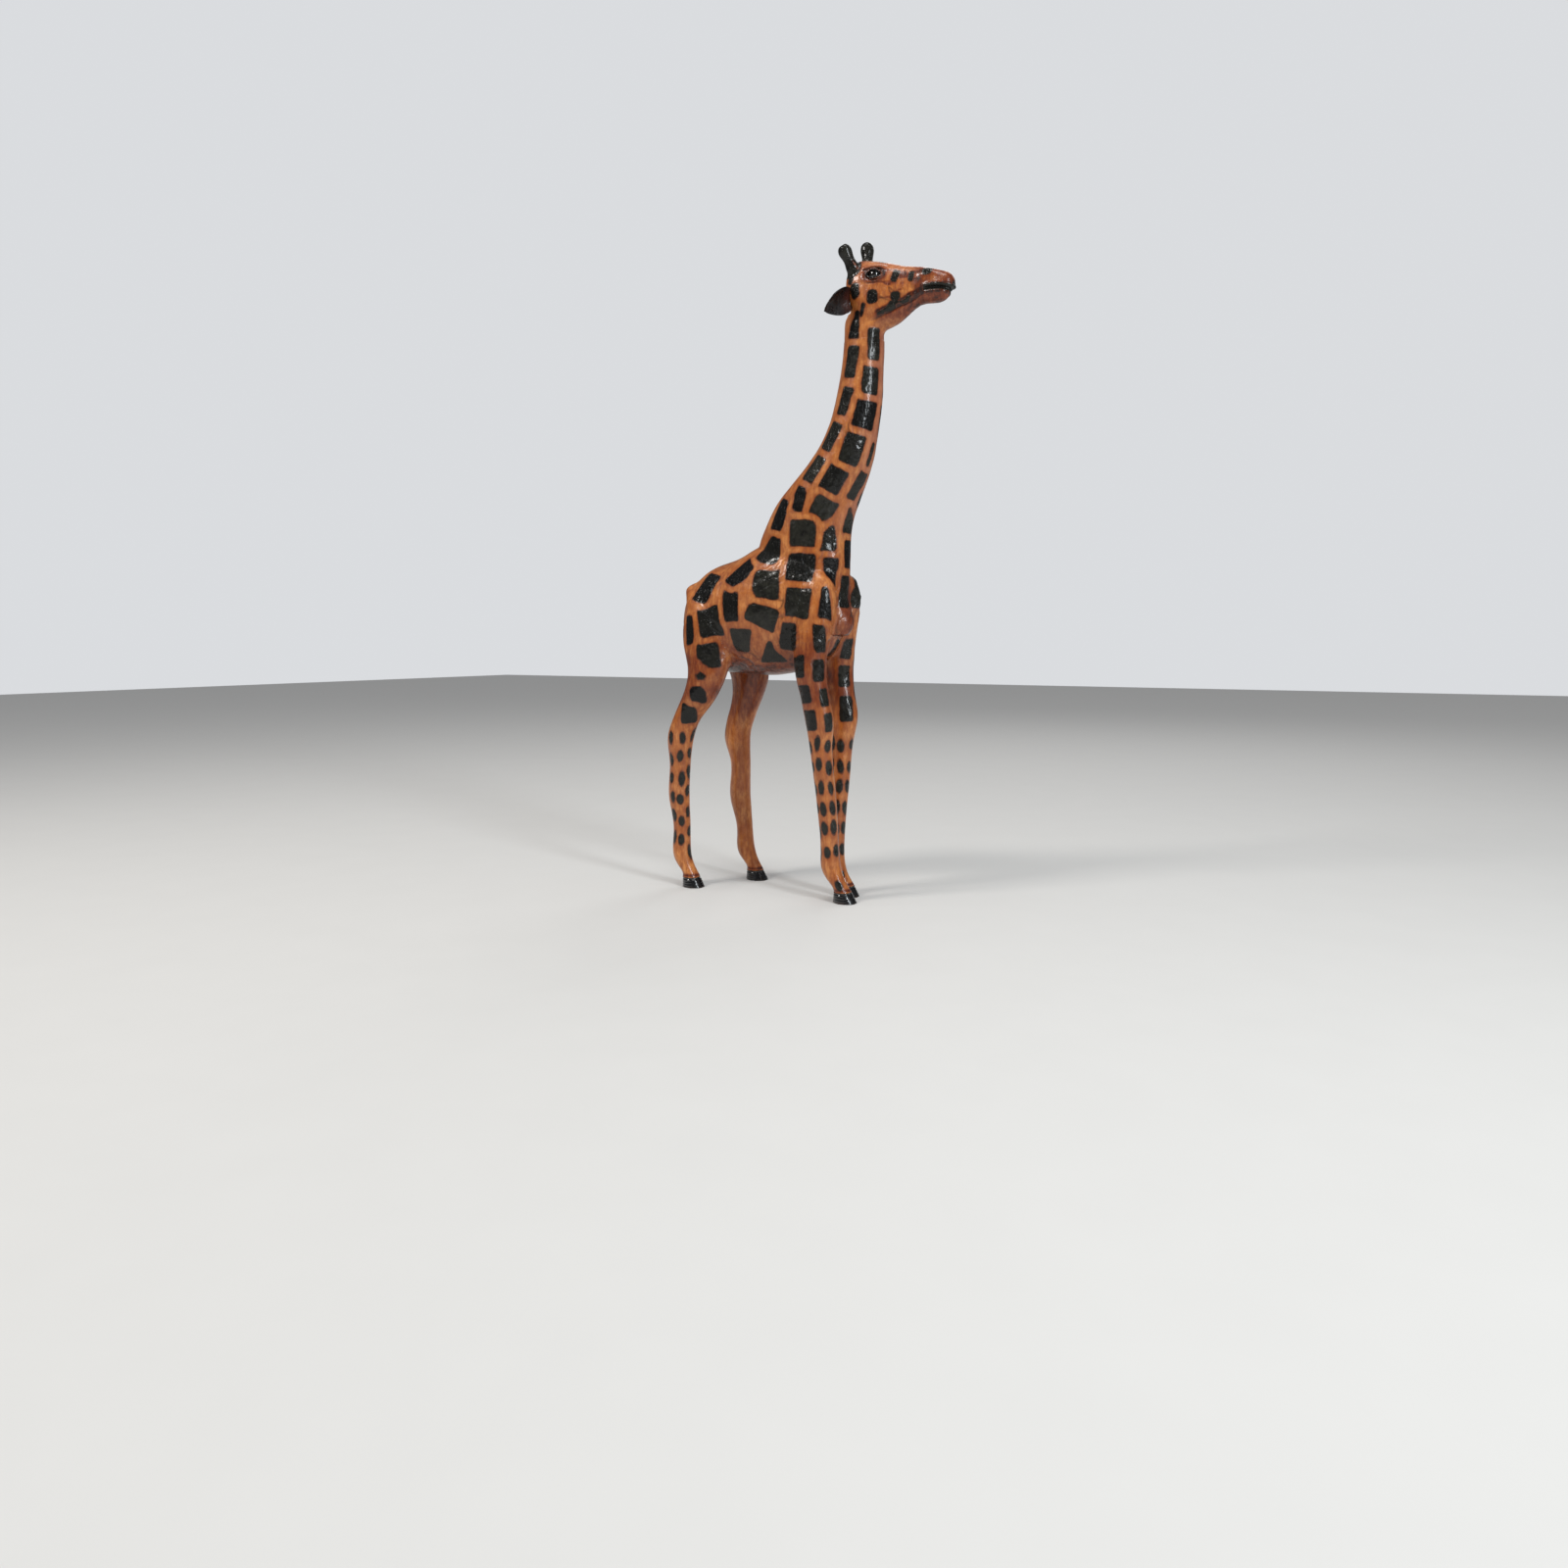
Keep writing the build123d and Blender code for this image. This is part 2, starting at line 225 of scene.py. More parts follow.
NECK_PATCHES = (
    Patch(85, -12, 605, 17, 7.2, 0), Patch(63, -21, 589, 17, 7.6, 8), Patch(83, -15, 568, 16, 9.6, 3),
    Patch(57, -23, 548, 15, 7.2, 17), Patch(78, -17, 534, 16, 12.6, 12), Patch(42, -25, 512, 16, 8.4, 27),
    Patch(66, -23, 498, 17, 11.6, 18), Patch(23, -30, 478, 17, 9.0, 30), Patch(46, -29, 466, 15, 12.2, 30),
    Patch(66, -8, 461, 17, 7.4, 20), Patch(7, -34, 449, 15, 9.4, 15, 0.15), Patch(35, -30, 437, 13, 13.2, 32),
    Patch(54, -1, 425, 15, 9.5, 5), Patch(-18, -31, 432, 18, 9.6, 15), Patch(66, -19, 626, 15, 7.4, 8, 0.55),
    Patch(78, -3, 493, 14, 3.0, 10),
)
BODY_PATCHES = (
    Patch(12, -35, 410, 16, 15.4, 0), Patch(39, -23, 405, 16, 10.4, 5, 0.4), Patch(-114, -36, 355, 19, 12.4, 18),
    Patch(-65, -40, 368, 20, 11.4, 45), Patch(-74, -48, 334, 19, 11.6, -2), Patch(-27, -48, 356, 18, 17.0, -3),
    Patch(-31, -50, 322, 13, 20.4, 25), Patch(-102, -45, 314, 18, 15.6, -12), Patch(-62, -44, 294, 14, 15.4, 5, -0.3),
    Patch(-26, -37, 281, 14, 15.8, 0, 0.75), Patch(0, -42, 299, 17, 15.0, 0, 0.3), Patch(12, -45, 335, 17, 15.2, 5),
    Patch(11, -37, 374, 17, 16.0, 10), Patch(-27, -34, 394, 16, 18.0, 20, 0.45), Patch(40, -21, 369, 18, 10.2, 0, -0.3),
    Patch(43, -40, 334, 19, 8.6, 0, 0.4), Patch(49, -5, 348, 18, 8.4, 3), Patch(51, 1, 389, 16, 8.6, 0),
    Patch(-103, -50, 278, 16, 14.2, -10), Patch(-130, -46, 306, 17, 6.4, -5), Patch(-111, -54, 256, 12, 10.5, 0, 0.6),
)
LEG_PATCHES = (            # square ones above the knees and hocks, near side
    Patch(38, -43, 296, 18, 7.4, -5), Patch(13, -48, 266, 13, 9.6), Patch(37, -43, 263, 14, 7.2),
    Patch(20, -47, 235, 11, 9.2, -5), Patch(42, -39, 232, 11, 5.6, -5), Patch(26, -44, 207, 12, 9.0, -5),
    Patch(47, -37, 205, 11, 5.6, -5), Patch(-116, -53, 234, 13, 10.4), Patch(-130, -50, 209, 12, 10.0),
)
LEFT_LEG_PATCHES = (       # the same for the far side, where the legs stand differently
    Patch(39, 24, 285, 13, 7.2, 10), Patch(38, 22, 254, 13, 7.6), Patch(41, 19, 217, 15, 8.0),
    Patch(41, 45, 300, 17, 8.0), Patch(24, 49, 268, 13, 9.5), Patch(44, 44, 262, 13, 7.0), Patch(22, 46, 236, 11, 9.0),
    Patch(42, 40, 232, 11, 5.6), Patch(24, 42, 207, 12, 9.0), Patch(44, 38, 205, 11, 5.6), Patch(-98, 54, 238, 13, 10.0),
    Patch(-110, 54, 212, 12, 9.0),
)
CENTRE_PATCHES = (         # chest, breast and spine, on the middle line
    Patch(44, 8, 312, 15, 9.0), Patch(44, 6, 280, 13, 8.0), Patch(51, 31, 352, 22, 14.0, 0, 0, 6.0),
    Patch(-100, 0, 378, 12, 10.0), Patch(-60, 0, 390, 12, 10.0), Patch(-36, 2, 412, 14, 9.0),
    Patch(-12, 0, 440, 14, 8.0), Patch(14, 1, 476, 15, 8.0), Patch(34, 0, 510, 15, 7.0), Patch(46, 0, 548, 15, 6.0),
    Patch(50, 0, 588, 15, 6.0), Patch(-158, 12, 330, 14, 9.0), Patch(-156, -14, 296, 14, 9.0),
    Patch(72, 8, 438, 13, 6.5),
)
HEAD_PATCHES = (
    Patch(109, -13, 671, 6.6, 4.0, 18, -0.25, 2.6), Patch(86, -20, 652, 6.6, 5.6, 0, 0.1, 3.8),
    Patch(66, -21, 660, 7.4, 5.2, -10, 0, 4.4), Patch(126, -11, 669, 5.2, 2.6, 5, 0, 2.0),
    Patch(110, -15, 650, 4.6, 4.6, 10, 0, 3.6), Patch(61, -19, 680, 10.0, 3.4, -6, 0, 2.4),
    Patch(74, -18, 640, 7.0, 1.8, -24, 0, 1.6),
)


@dataclass(frozen=True)
class Stroke:
    """A brush stroke between two points, with its radius at each end, in millimetres."""

    start: Place
    end: Place
    r_start: float
    r_end: float

    def distance(self, p: Points) -> Points:
        """Signed distance in millimetres, negative inside the stroke."""
        a, b = np.array(self.start), np.array(self.end)
        along = np.clip(((p - a) @ (b - a)) / ((b - a) @ (b - a)), 0, 1)
        nearest = a + along[:, None] * (b - a)
        return np.linalg.norm(p - nearest, axis=1) - (self.r_start + (self.r_end - self.r_start) * along)


class Markings:
    """All patches and strokes, and their signed distance anywhere on the leather."""

    gap = 8.2              # bare leather between neighbouring patches
    reach = 36.0           # no big patch reaches further than this from its centre
    inset = 0.4            # how far every big patch is drawn in
    rounding = 0.7         # of the corners where two patches cut each other back
    most = 12.0            # largest distance that the leather stores

    def __init__(self, surface: BVHTree, seed: int) -> None:
        """Places every patch on the surface.

        Args:
            surface: the leather, in millimetres.
            seed: for the small differences between the two sides.
        """
        self.surface = surface
        self.random = np.random.default_rng(seed)
        near = NECK_PATCHES + BODY_PATCHES
        far = tuple(patch.mirrored(self.shift) for patch in near if abs(patch.y) > 9)
        hind_far = tuple(p for p in far if not (p.x < -95 and p.z < 290))
        self.square = self.placed(near + hind_far + LEG_PATCHES + LEFT_LEG_PATCHES + CENTRE_PATCHES)
        both_cheeks = HEAD_PATCHES + tuple(patch.mirrored(self.shift) for patch in HEAD_PATCHES)
        self.face = self.placed(both_cheeks)
        self.ovals = self.placed(self.leg_ovals())

    def shift(self, most: float) -> float:
        """A random amount up to most either way."""
        return float(self.random.uniform(-most, most))

    def placed(self, patches: Iterable[Patch]) -> list[tuple[Patch, Points, Points, Points]]:
        """Each patch with its point on the surface and its two directions along it.

        Args:
            patches: patches whose centres are near the surface.

        Returns:
            Patch, centre, direction across and direction up, for each.
        """
        out = []
        for patch in patches:
            point, normal, _, _ = self.surface.find_nearest(Vector((patch.x, patch.y, patch.z)))
            across = Vector((0, 0, 1)).cross(normal)
            across = across.normalized() if across.length > 0.2 else Vector((1, 0, 0))
            upward = normal.cross(across).normalized()
            side = 1.0 if patch.y < 0 else -1.0
            turn = math.radians(patch.tilt)
            a = across * math.cos(turn) - upward * math.sin(turn)
            u = upward * math.cos(turn) + across * math.sin(turn)
            out.append((patch, np.array(point), np.array(a) * side, np.array(u)))
        return out

    def leg_ovals(self) -> list[Patch]:
        """Columns of small ovals down the lower legs.

        Returns:
            The ovals, and the two marks above the fore hooves.
        """
        rows = []
        legs = (            # knee: height, x, y; ankle: height, x, y; phase of the columns; how many columns are bare
            ((182, 33, -30), (48, 41.5, -22), -82.0, ()),
            ((182, 31.7, 28), (48, 30, 14), -70.0, ()),
            ((190, -148, -36), (44, -152.5, -33), -62.0, ()),
            ((186, -116, 39), (44, -108, 41), 118.0, (-122.0, -62.0, -2.0)),
        )
        for high, low, phase, bare in legs:
            for column in range(6):
                angle = (phase + 60 * column + 180) % 360 - 180
                if any(abs((angle - b + 180) % 360 - 180) < 29 for b in bare):
                    continue
                z = high[0] - 5 + self.shift(7)
                while z > low[0] - 6:
                    t = (high[0] - z) / (high[0] - low[0])
                    x = high[1] + (low[1] - high[1]) * t
                    y = high[2] + (low[2] - high[2]) * t
                    a = math.radians(angle + self.shift(7))
                    rows.append(Patch(x + 14 * math.cos(a), y + 14 * math.sin(a), z, 6.6 + self.shift(1.3),
                                      3.3 + self.shift(0.6), self.shift(9), 0, OVAL))
                    z -= 24.5 + self.shift(3.0)
        rows += [Patch(56, -29, 20, 6, 3.4, -25, 0, OVAL), Patch(44, 3, 24, 6, 3, 20, 0, OVAL)]
        return rows

    @staticmethod
    def box(p: Points, placed: tuple[Patch, Points, Points, Points]) -> Points:
        """Signed distance to one rounded, tapered patch.

        Args:
            p: points in millimetres.
            placed: a patch with its place.

        Returns:
            Millimetres, negative inside.
        """
        patch, centre, across, upward = placed
        d = p - centre
        v = d @ upward
        reach = np.linalg.norm(d - v[:, None] * upward, axis=1)
        side = np.where(d @ across >= 0, 1.0, -1.0)
        u = reach * side
        wide = patch.wide * (1 - patch.taper * np.clip(v / patch.tall, -1, 1)) / (1 + 0.85 * abs(patch.taper))
        if patch.corner == OVAL:
            k = np.sqrt((u / patch.wide) ** 2 + (v / patch.tall) ** 2)
            return (k - 1) * min(patch.wide, patch.tall)
        r = patch.corner
        qx = np.abs(u) - np.maximum(wide - r, 0.2)
        qy = np.abs(v) - (patch.tall - r)
        outside = np.hypot(np.maximum(qx, 0), np.maximum(qy, 0))
        return outside + np.minimum(np.maximum(qx, qy), 0) - r

    def square_distance(self, p: Points) -> tuple[Points, Points]:
        """Distance to the big patches, each cut back where it meets a neighbour.

        Args:
            p: points in millimetres.

        Returns:
            Signed distance, and how much painted olive sheen, from 0 to 1, the nearest patch shows.
        """
        centres = np.array([c for _, c, _, _ in self.square])
        boxes = np.full((len(p), 3), 40.0)
        owner = np.zeros((len(p), 3), int)
        for i, placed in enumerate(self.square):
            near = np.linalg.norm(p - centres[i], axis=1) < self.reach
            if not near.any():
                continue
            d = self.box(p[near], placed)
            rows = np.flatnonzero(near)
            best = boxes[rows]
            own = owner[rows]
            for k in range(3):
                better = d < best[:, k]
                for j in range(2, k, -1):
                    best[better, j] = best[better, j - 1]
                    own[better, j] = own[better, j - 1]
                best[better, k] = d[better]
                own[better, k] = i
                d = np.where(better, FAR_AWAY, d)
            boxes[rows], owner[rows] = best, own
        first, second = boxes[:, 0] + self.inset, boxes[:, 1] + self.inset
        shared = (self.gap - (second - first)) / 2
        out = np.logaddexp(first / self.rounding, shared / self.rounding) * self.rounding
        out = np.minimum(out, self.most)
        patch_sheens = self.random.uniform(0, 1, len(self.square) + 1)
        return out, patch_sheens[owner[:, 0]]


# ------------------------------------------------------------------ mesh helpers
def mesh_points(mesh: bpy.types.Mesh) -> Points:
    """Vertex positions in millimetres."""
    co = np.empty(len(mesh.vertices) * 3, np.float32)
    mesh.vertices.foreach_get("co", co)
    return co.reshape(-1, 3).astype(float) / MM


def mesh_normals(mesh: bpy.types.Mesh) -> Points:
    """Vertex normals."""
    n = np.empty(len(mesh.vertices) * 3, np.float32)
    mesh.vertex_normals.foreach_get("vector", n)
    return n.reshape(-1, 3).astype(float)


def set_points(mesh: bpy.types.Mesh, points: Points) -> None:
    """Writes positions given in millimetres."""
    mesh.vertices.foreach_set("co", (points * MM).astype(np.float32).ravel())
    mesh.update()


def mesh_edges(mesh: bpy.types.Mesh) -> np.ndarray:
    """Pairs of vertex numbers."""
    e = np.empty(len(mesh.edges) * 2, np.int64)
    mesh.edges.foreach_get("vertices", e)
    return e.reshape(-1, 2)


def relax(points: Points, edges: np.ndarray, rounds: int, strength: Points | float = 0.5) -> Points:
    """Moves every point towards the mean of its neighbours.

    Args:
        points: positions.
        edges: pairs of vertex numbers.
        rounds: how many times.
        strength: share of the way, for all or one per point.

    Returns:
        New positions.
    """
    n = len(points)
    count = np.bincount(edges.ravel(), minlength=n).astype(float)
    share = strength if isinstance(strength, float) else strength[:, None]
    for _ in range(rounds):
        mean = np.stack([np.bincount(edges[:, 0], points[edges[:, 1], k], n)
                         + np.bincount(edges[:, 1], points[edges[:, 0], k], n) for k in range(3)], axis=1)
        points = points + (mean / np.maximum(count, 1)[:, None] - points) * share
    return points


def fair(points: Points, edges: np.ndarray, rounds: int) -> Points:
    """Takes the voxel steps out without shrinking thin limbs."""
    for _ in range(rounds):
        points = relax(points, edges, 1, 0.5)
        points = relax(points, edges, 1, -0.52)
    return points


def merged_copy(name: str, sources: Sequence[bpy.types.Object]) -> bpy.types.Object:
    """One object holding merged copies of several CAD meshes.

    Args:
        name: the new object's name.
        sources: the objects to copy.

    Returns:
        The new object.
    """
    bm = bmesh.new()
    for source in sources:
        part = bmesh.new()
        part.from_mesh(source.data)
        bmesh.ops.remove_doubles(part, verts=part.verts, dist=1e-6)
        scratch = bpy.data.meshes.new("scratch")
        part.to_mesh(scratch)
        part.free()
        bm.from_mesh(scratch)
        bpy.data.meshes.remove(scratch)
    mesh = bpy.data.meshes.new(name)
    bm.to_mesh(mesh)
    bm.free()
    obj = bpy.data.objects.new(name, mesh)
    bpy.context.scene.collection.objects.link(obj)
    return obj


def voxelled(obj: bpy.types.Object, size_mm: float) -> bpy.types.Object:
    """Replaces the object's mesh by an even voxel skin of it.

    Args:
        obj: closed shapes, which may overlap.
        size_mm: voxel size.

    Returns:
        The same object.
    """
    remesh = obj.modifiers.new("skin", "REMESH")
    remesh.mode = "VOXEL"
    remesh.voxel_size = size_mm * MM
    graph = bpy.context.evaluated_depsgraph_get()
    mesh = bpy.data.meshes.new_from_object(obj.evaluated_get(graph))
    obj.modifiers.clear()
    old, obj.data = obj.data, mesh
    bpy.data.meshes.remove(old)
    mesh.name = obj.name
    return obj


def trimmed(obj: bpy.types.Object, height_mm: float, keep_above: bool) -> None:
    """Cuts the mesh off level at a height and keeps one side.

    Args:
        obj: the mesh to cut.
        height_mm: height of the cut.
        keep_above: keeps the upper side, else the lower.
    """
    bm = bmesh.new()
    bm.from_mesh(obj.data)
    everything = bm.verts[:] + bm.edges[:] + bm.faces[:]
    bmesh.ops.bisect_plane(bm, geom=everything, plane_co=(0, 0, height_mm * MM), plane_no=(0, 0, 1),
                           clear_inner=keep_above, clear_outer=not keep_above)
    bm.to_mesh(obj.data)
    bm.free()


def add_layer(mesh: bpy.types.Mesh, name: str, values: Points) -> None:
    """Stores one number per vertex under a name that the finishes read."""
    layer = mesh.attributes.new(name, "FLOAT", "POINT")
    layer.data.foreach_set("value", values.astype(np.float32))


def smooth_shaded(obj: bpy.types.Object) -> None:
    """Smooth shading on every face."""
    obj.data.polygons.foreach_set("use_smooth", [True] * len(obj.data.polygons))
    obj.data.update()


def report(obj: bpy.types.Object, replaces: Sequence[str]) -> None:
    """Rides a finished piece on the body and the nodes that it stands for.

    Args:
        obj: the piece.
        replaces: the CAD nodes that it replaces.
    """
    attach(obj, "root")
    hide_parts(*replaces)
    LOG.info("%s: %d faces, stands for %s", obj.name, len(obj.data.polygons), ", ".join(replaces))


# ------------------------------------------------------------------ finishes
class Shader:
    """A material being wired up: short calls for adding and joining nodes."""

    def __init__(self, name: str, tree: bpy.types.NodeTree | None = None) -> None:
        """Starts a material, or works in a given node tree.

        Args:
            name: the material's name.
            tree: a node group's tree, when one is being built.
        """
        self.material = None
        if tree is None:
            self.material = bpy.data.materials.new(name)
            self.material.use_nodes = True
            tree = self.material.node_tree
            tree.nodes.clear()
        self.tree = tree

    def node(self, kind: str, inputs: dict | None = None, **settings: object) -> bpy.types.Node:
        """Adds a node.

        Args:
            kind: Blender's name for the node.
            inputs: values or sockets for its inputs, by name or number.
            settings: its properties.

        Returns:
            The node.
        """
        node = self.tree.nodes.new(kind)
        for key, value in settings.items():
            setattr(node, key, value)
        for key, value in (inputs or {}).items():
            if isinstance(value, bpy.types.NodeSocket):
                self.tree.links.new(value, node.inputs[key])
            else:
                node.inputs[key].default_value = value
        return node

    def math(self, operation: str, a: object, b: object = 0.0, clamp: bool = False) -> bpy.types.NodeSocket:
        """One Math node."""
        return self.node("ShaderNodeMath", {0: a, 1: b}, operation=operation, use_clamp=clamp).outputs[0]

    def mask(self, value: object, low: float, high: float) -> bpy.types.NodeSocket:
        """Smooth 0..1 step of a value between two limits."""
        return self.node("ShaderNodeMapRange", {0: value, 1: low, 2: high, 3: 0.0, 4: 1.0},
                         interpolation_type="SMOOTHSTEP").outputs[0]

    def scaled(self, value: object, low: float, high: float, to_low: float, to_high: float) -> bpy.types.NodeSocket:
        """Linear change of range."""
        return self.node("ShaderNodeMapRange", {0: value, 1: low, 2: high, 3: to_low, 4: to_high}).outputs[0]

    def mix(self, factor: object, a: object, b: object) -> bpy.types.NodeSocket:
        """Mix of two colours."""
        inputs = {0: factor}
        for key, value in ((6, a), (7, b)):
            inputs[key] = value if isinstance(value, bpy.types.NodeSocket) else (*value, 1.0)
        return self.node("ShaderNodeMix", inputs, data_type="RGBA").outputs[2]

    def layer(self, name: str) -> bpy.types.NodeSocket:
        """A number stored on the mesh."""
        return self.node("ShaderNodeAttribute", attribute_name=name).outputs["Fac"]

    def place(self) -> bpy.types.NodeSocket:
        """Object coordinates."""
        return self.node("ShaderNodeTexCoord").outputs["Object"]

    def speckle(self, place: object, size_mm: float, detail: float = 2.0, rough: float = 0.5) -> bpy.types.NodeSocket:
        """Noise of the given feature size."""
        return self.node("ShaderNodeTexNoise", {"Vector": place, "Scale": 1 / (size_mm * MM), "Detail": detail,
                                                "Roughness": rough}).outputs["Fac"]

    def group(self, tree: bpy.types.NodeTree, inputs: dict) -> bpy.types.Node:
        """Places a node group.

        Args:
            tree: the group.
            inputs: a socket or a plain value for each of its inputs.

        Returns:
            The group's node.
        """
        node = self.node("ShaderNodeGroup", node_tree=tree)
        for key, value in inputs.items():
            if isinstance(value, bpy.types.NodeSocket):
                self.tree.links.new(value, node.inputs[key])
            else:
                node.inputs[key].default_value = value
        return node

    def surface(self, inputs: dict) -> bpy.types.Material:
        """Ends the material with a Principled BSDF.

        Args:
            inputs: values or sockets of the shader, by name.

        Returns:
            The material.
        """
        bsdf = self.node("ShaderNodeBsdfPrincipled", inputs)
        out = self.node("ShaderNodeOutputMaterial")
        self.tree.links.new(bsdf.outputs[0], out.inputs[0])
        return self.material


class Groups:
    """Node groups shared by the finishes, each built once."""

    made: dict[str, bpy.types.NodeTree] = {}

    @classmethod
    def start(cls, name: str, inputs: Sequence[tuple[str, str, float]], outputs: Sequence[str]) -> tuple:
        """Opens a new group.

        Args:
            name: the group's name.
            inputs: name, socket kind and starting value.
            outputs: names of its number outputs.

        Returns:
            A Shader on the group's tree, its input node and its output node.
        """
        tree = bpy.data.node_groups.new(name, "ShaderNodeTree")
        for label, kind, value in inputs:
            socket = tree.interface.new_socket(label, in_out="INPUT", socket_type=kind)
            if kind == "NodeSocketFloat":
                socket.default_value = value
        for label in outputs:
            tree.interface.new_socket(label, in_out="OUTPUT", socket_type="NodeSocketFloat")
        cls.made[name] = tree
        return Shader(name, tree), tree.nodes.new("NodeGroupInput"), tree.nodes.new("NodeGroupOutput")

    @classmethod
    def grain(cls) -> bpy.types.NodeTree:
        """Leather grain: pebbled cells with fine creases, as a height from 0 to 1.

        Returns:
            Group with inputs Place, Pebble (mm) and Crease (mm), and output Height.
        """
        if "leather grain" in cls.made:
            return cls.made["leather grain"]
        s, inp, out = cls.start("leather grain", (("Place", "NodeSocketVector", 0), ("Pebble", "NodeSocketFloat", 900),
                                                  ("Crease", "NodeSocketFloat", 180)), ("Height",))
        place = inp.outputs["Place"]
        wobble = s.node("ShaderNodeTexNoise", {"Vector": place, "Scale": 260.0, "Detail": 3.0})
        bent = s.node("ShaderNodeMix", {0: 0.0045, 4: place, 5: wobble.outputs["Color"]}, data_type="VECTOR")
        cells = s.node("ShaderNodeTexVoronoi", {"Vector": bent.outputs[1], "Scale": inp.outputs["Pebble"]},
                       feature="SMOOTH_F1")
        lines = s.node("ShaderNodeTexVoronoi", {"Vector": bent.outputs[1], "Scale": inp.outputs["Crease"]},
                       feature="DISTANCE_TO_EDGE")
        crease = s.mask(lines.outputs["Distance"], 0.0, 0.09)
        fine = s.node("ShaderNodeTexNoise", {"Vector": place, "Scale": 2400.0, "Detail": 3.0, "Roughness": 0.6})
        height = s.math("MULTIPLY_ADD", cells.outputs["Distance"], -0.35)
        height.node.inputs[2].default_value = 0.5
        height = s.math("ADD", height, s.math("MULTIPLY", crease, 0.35))
        height = s.math("ADD", height, s.math("MULTIPLY", fine.outputs["Fac"], 0.18))
        s.tree.links.new(height, out.inputs["Height"])
        return cls.made["leather grain"]

    @classmethod
    def brushing(cls) -> bpy.types.NodeTree:
        """Uneven hand-rubbed stain: blotches, streaks down the limb and specks.

        Returns:
            Group with input Place and outputs Blotch, Streak and Speck, each 0 to 1.
        """
        if "rubbed stain" in cls.made:
            return cls.made["rubbed stain"]
        s, inp, out = cls.start("rubbed stain", (("Place", "NodeSocketVector", 0),), ("Blotch", "Streak", "Speck"))
        place = inp.outputs["Place"]
        blotch = s.speckle(place, 22, 3.0, 0.6)
        stretch = s.node("ShaderNodeMapping", {"Vector": place, "Scale": (1.0, 1.0, 0.28)})
        streak = s.speckle(stretch.outputs[0], 4.0, 4.0, 0.65)
        speck = s.speckle(place, 1.1, 2.0, 0.7)
        s.tree.links.new(s.mask(blotch, 0.34, 0.66), out.inputs["Blotch"])
        s.tree.links.new(s.mask(streak, 0.35, 0.68), out.inputs["Streak"])
        s.tree.links.new(s.mask(speck, 0.56, 0.72), out.inputs["Speck"])
        return cls.made["rubbed stain"]


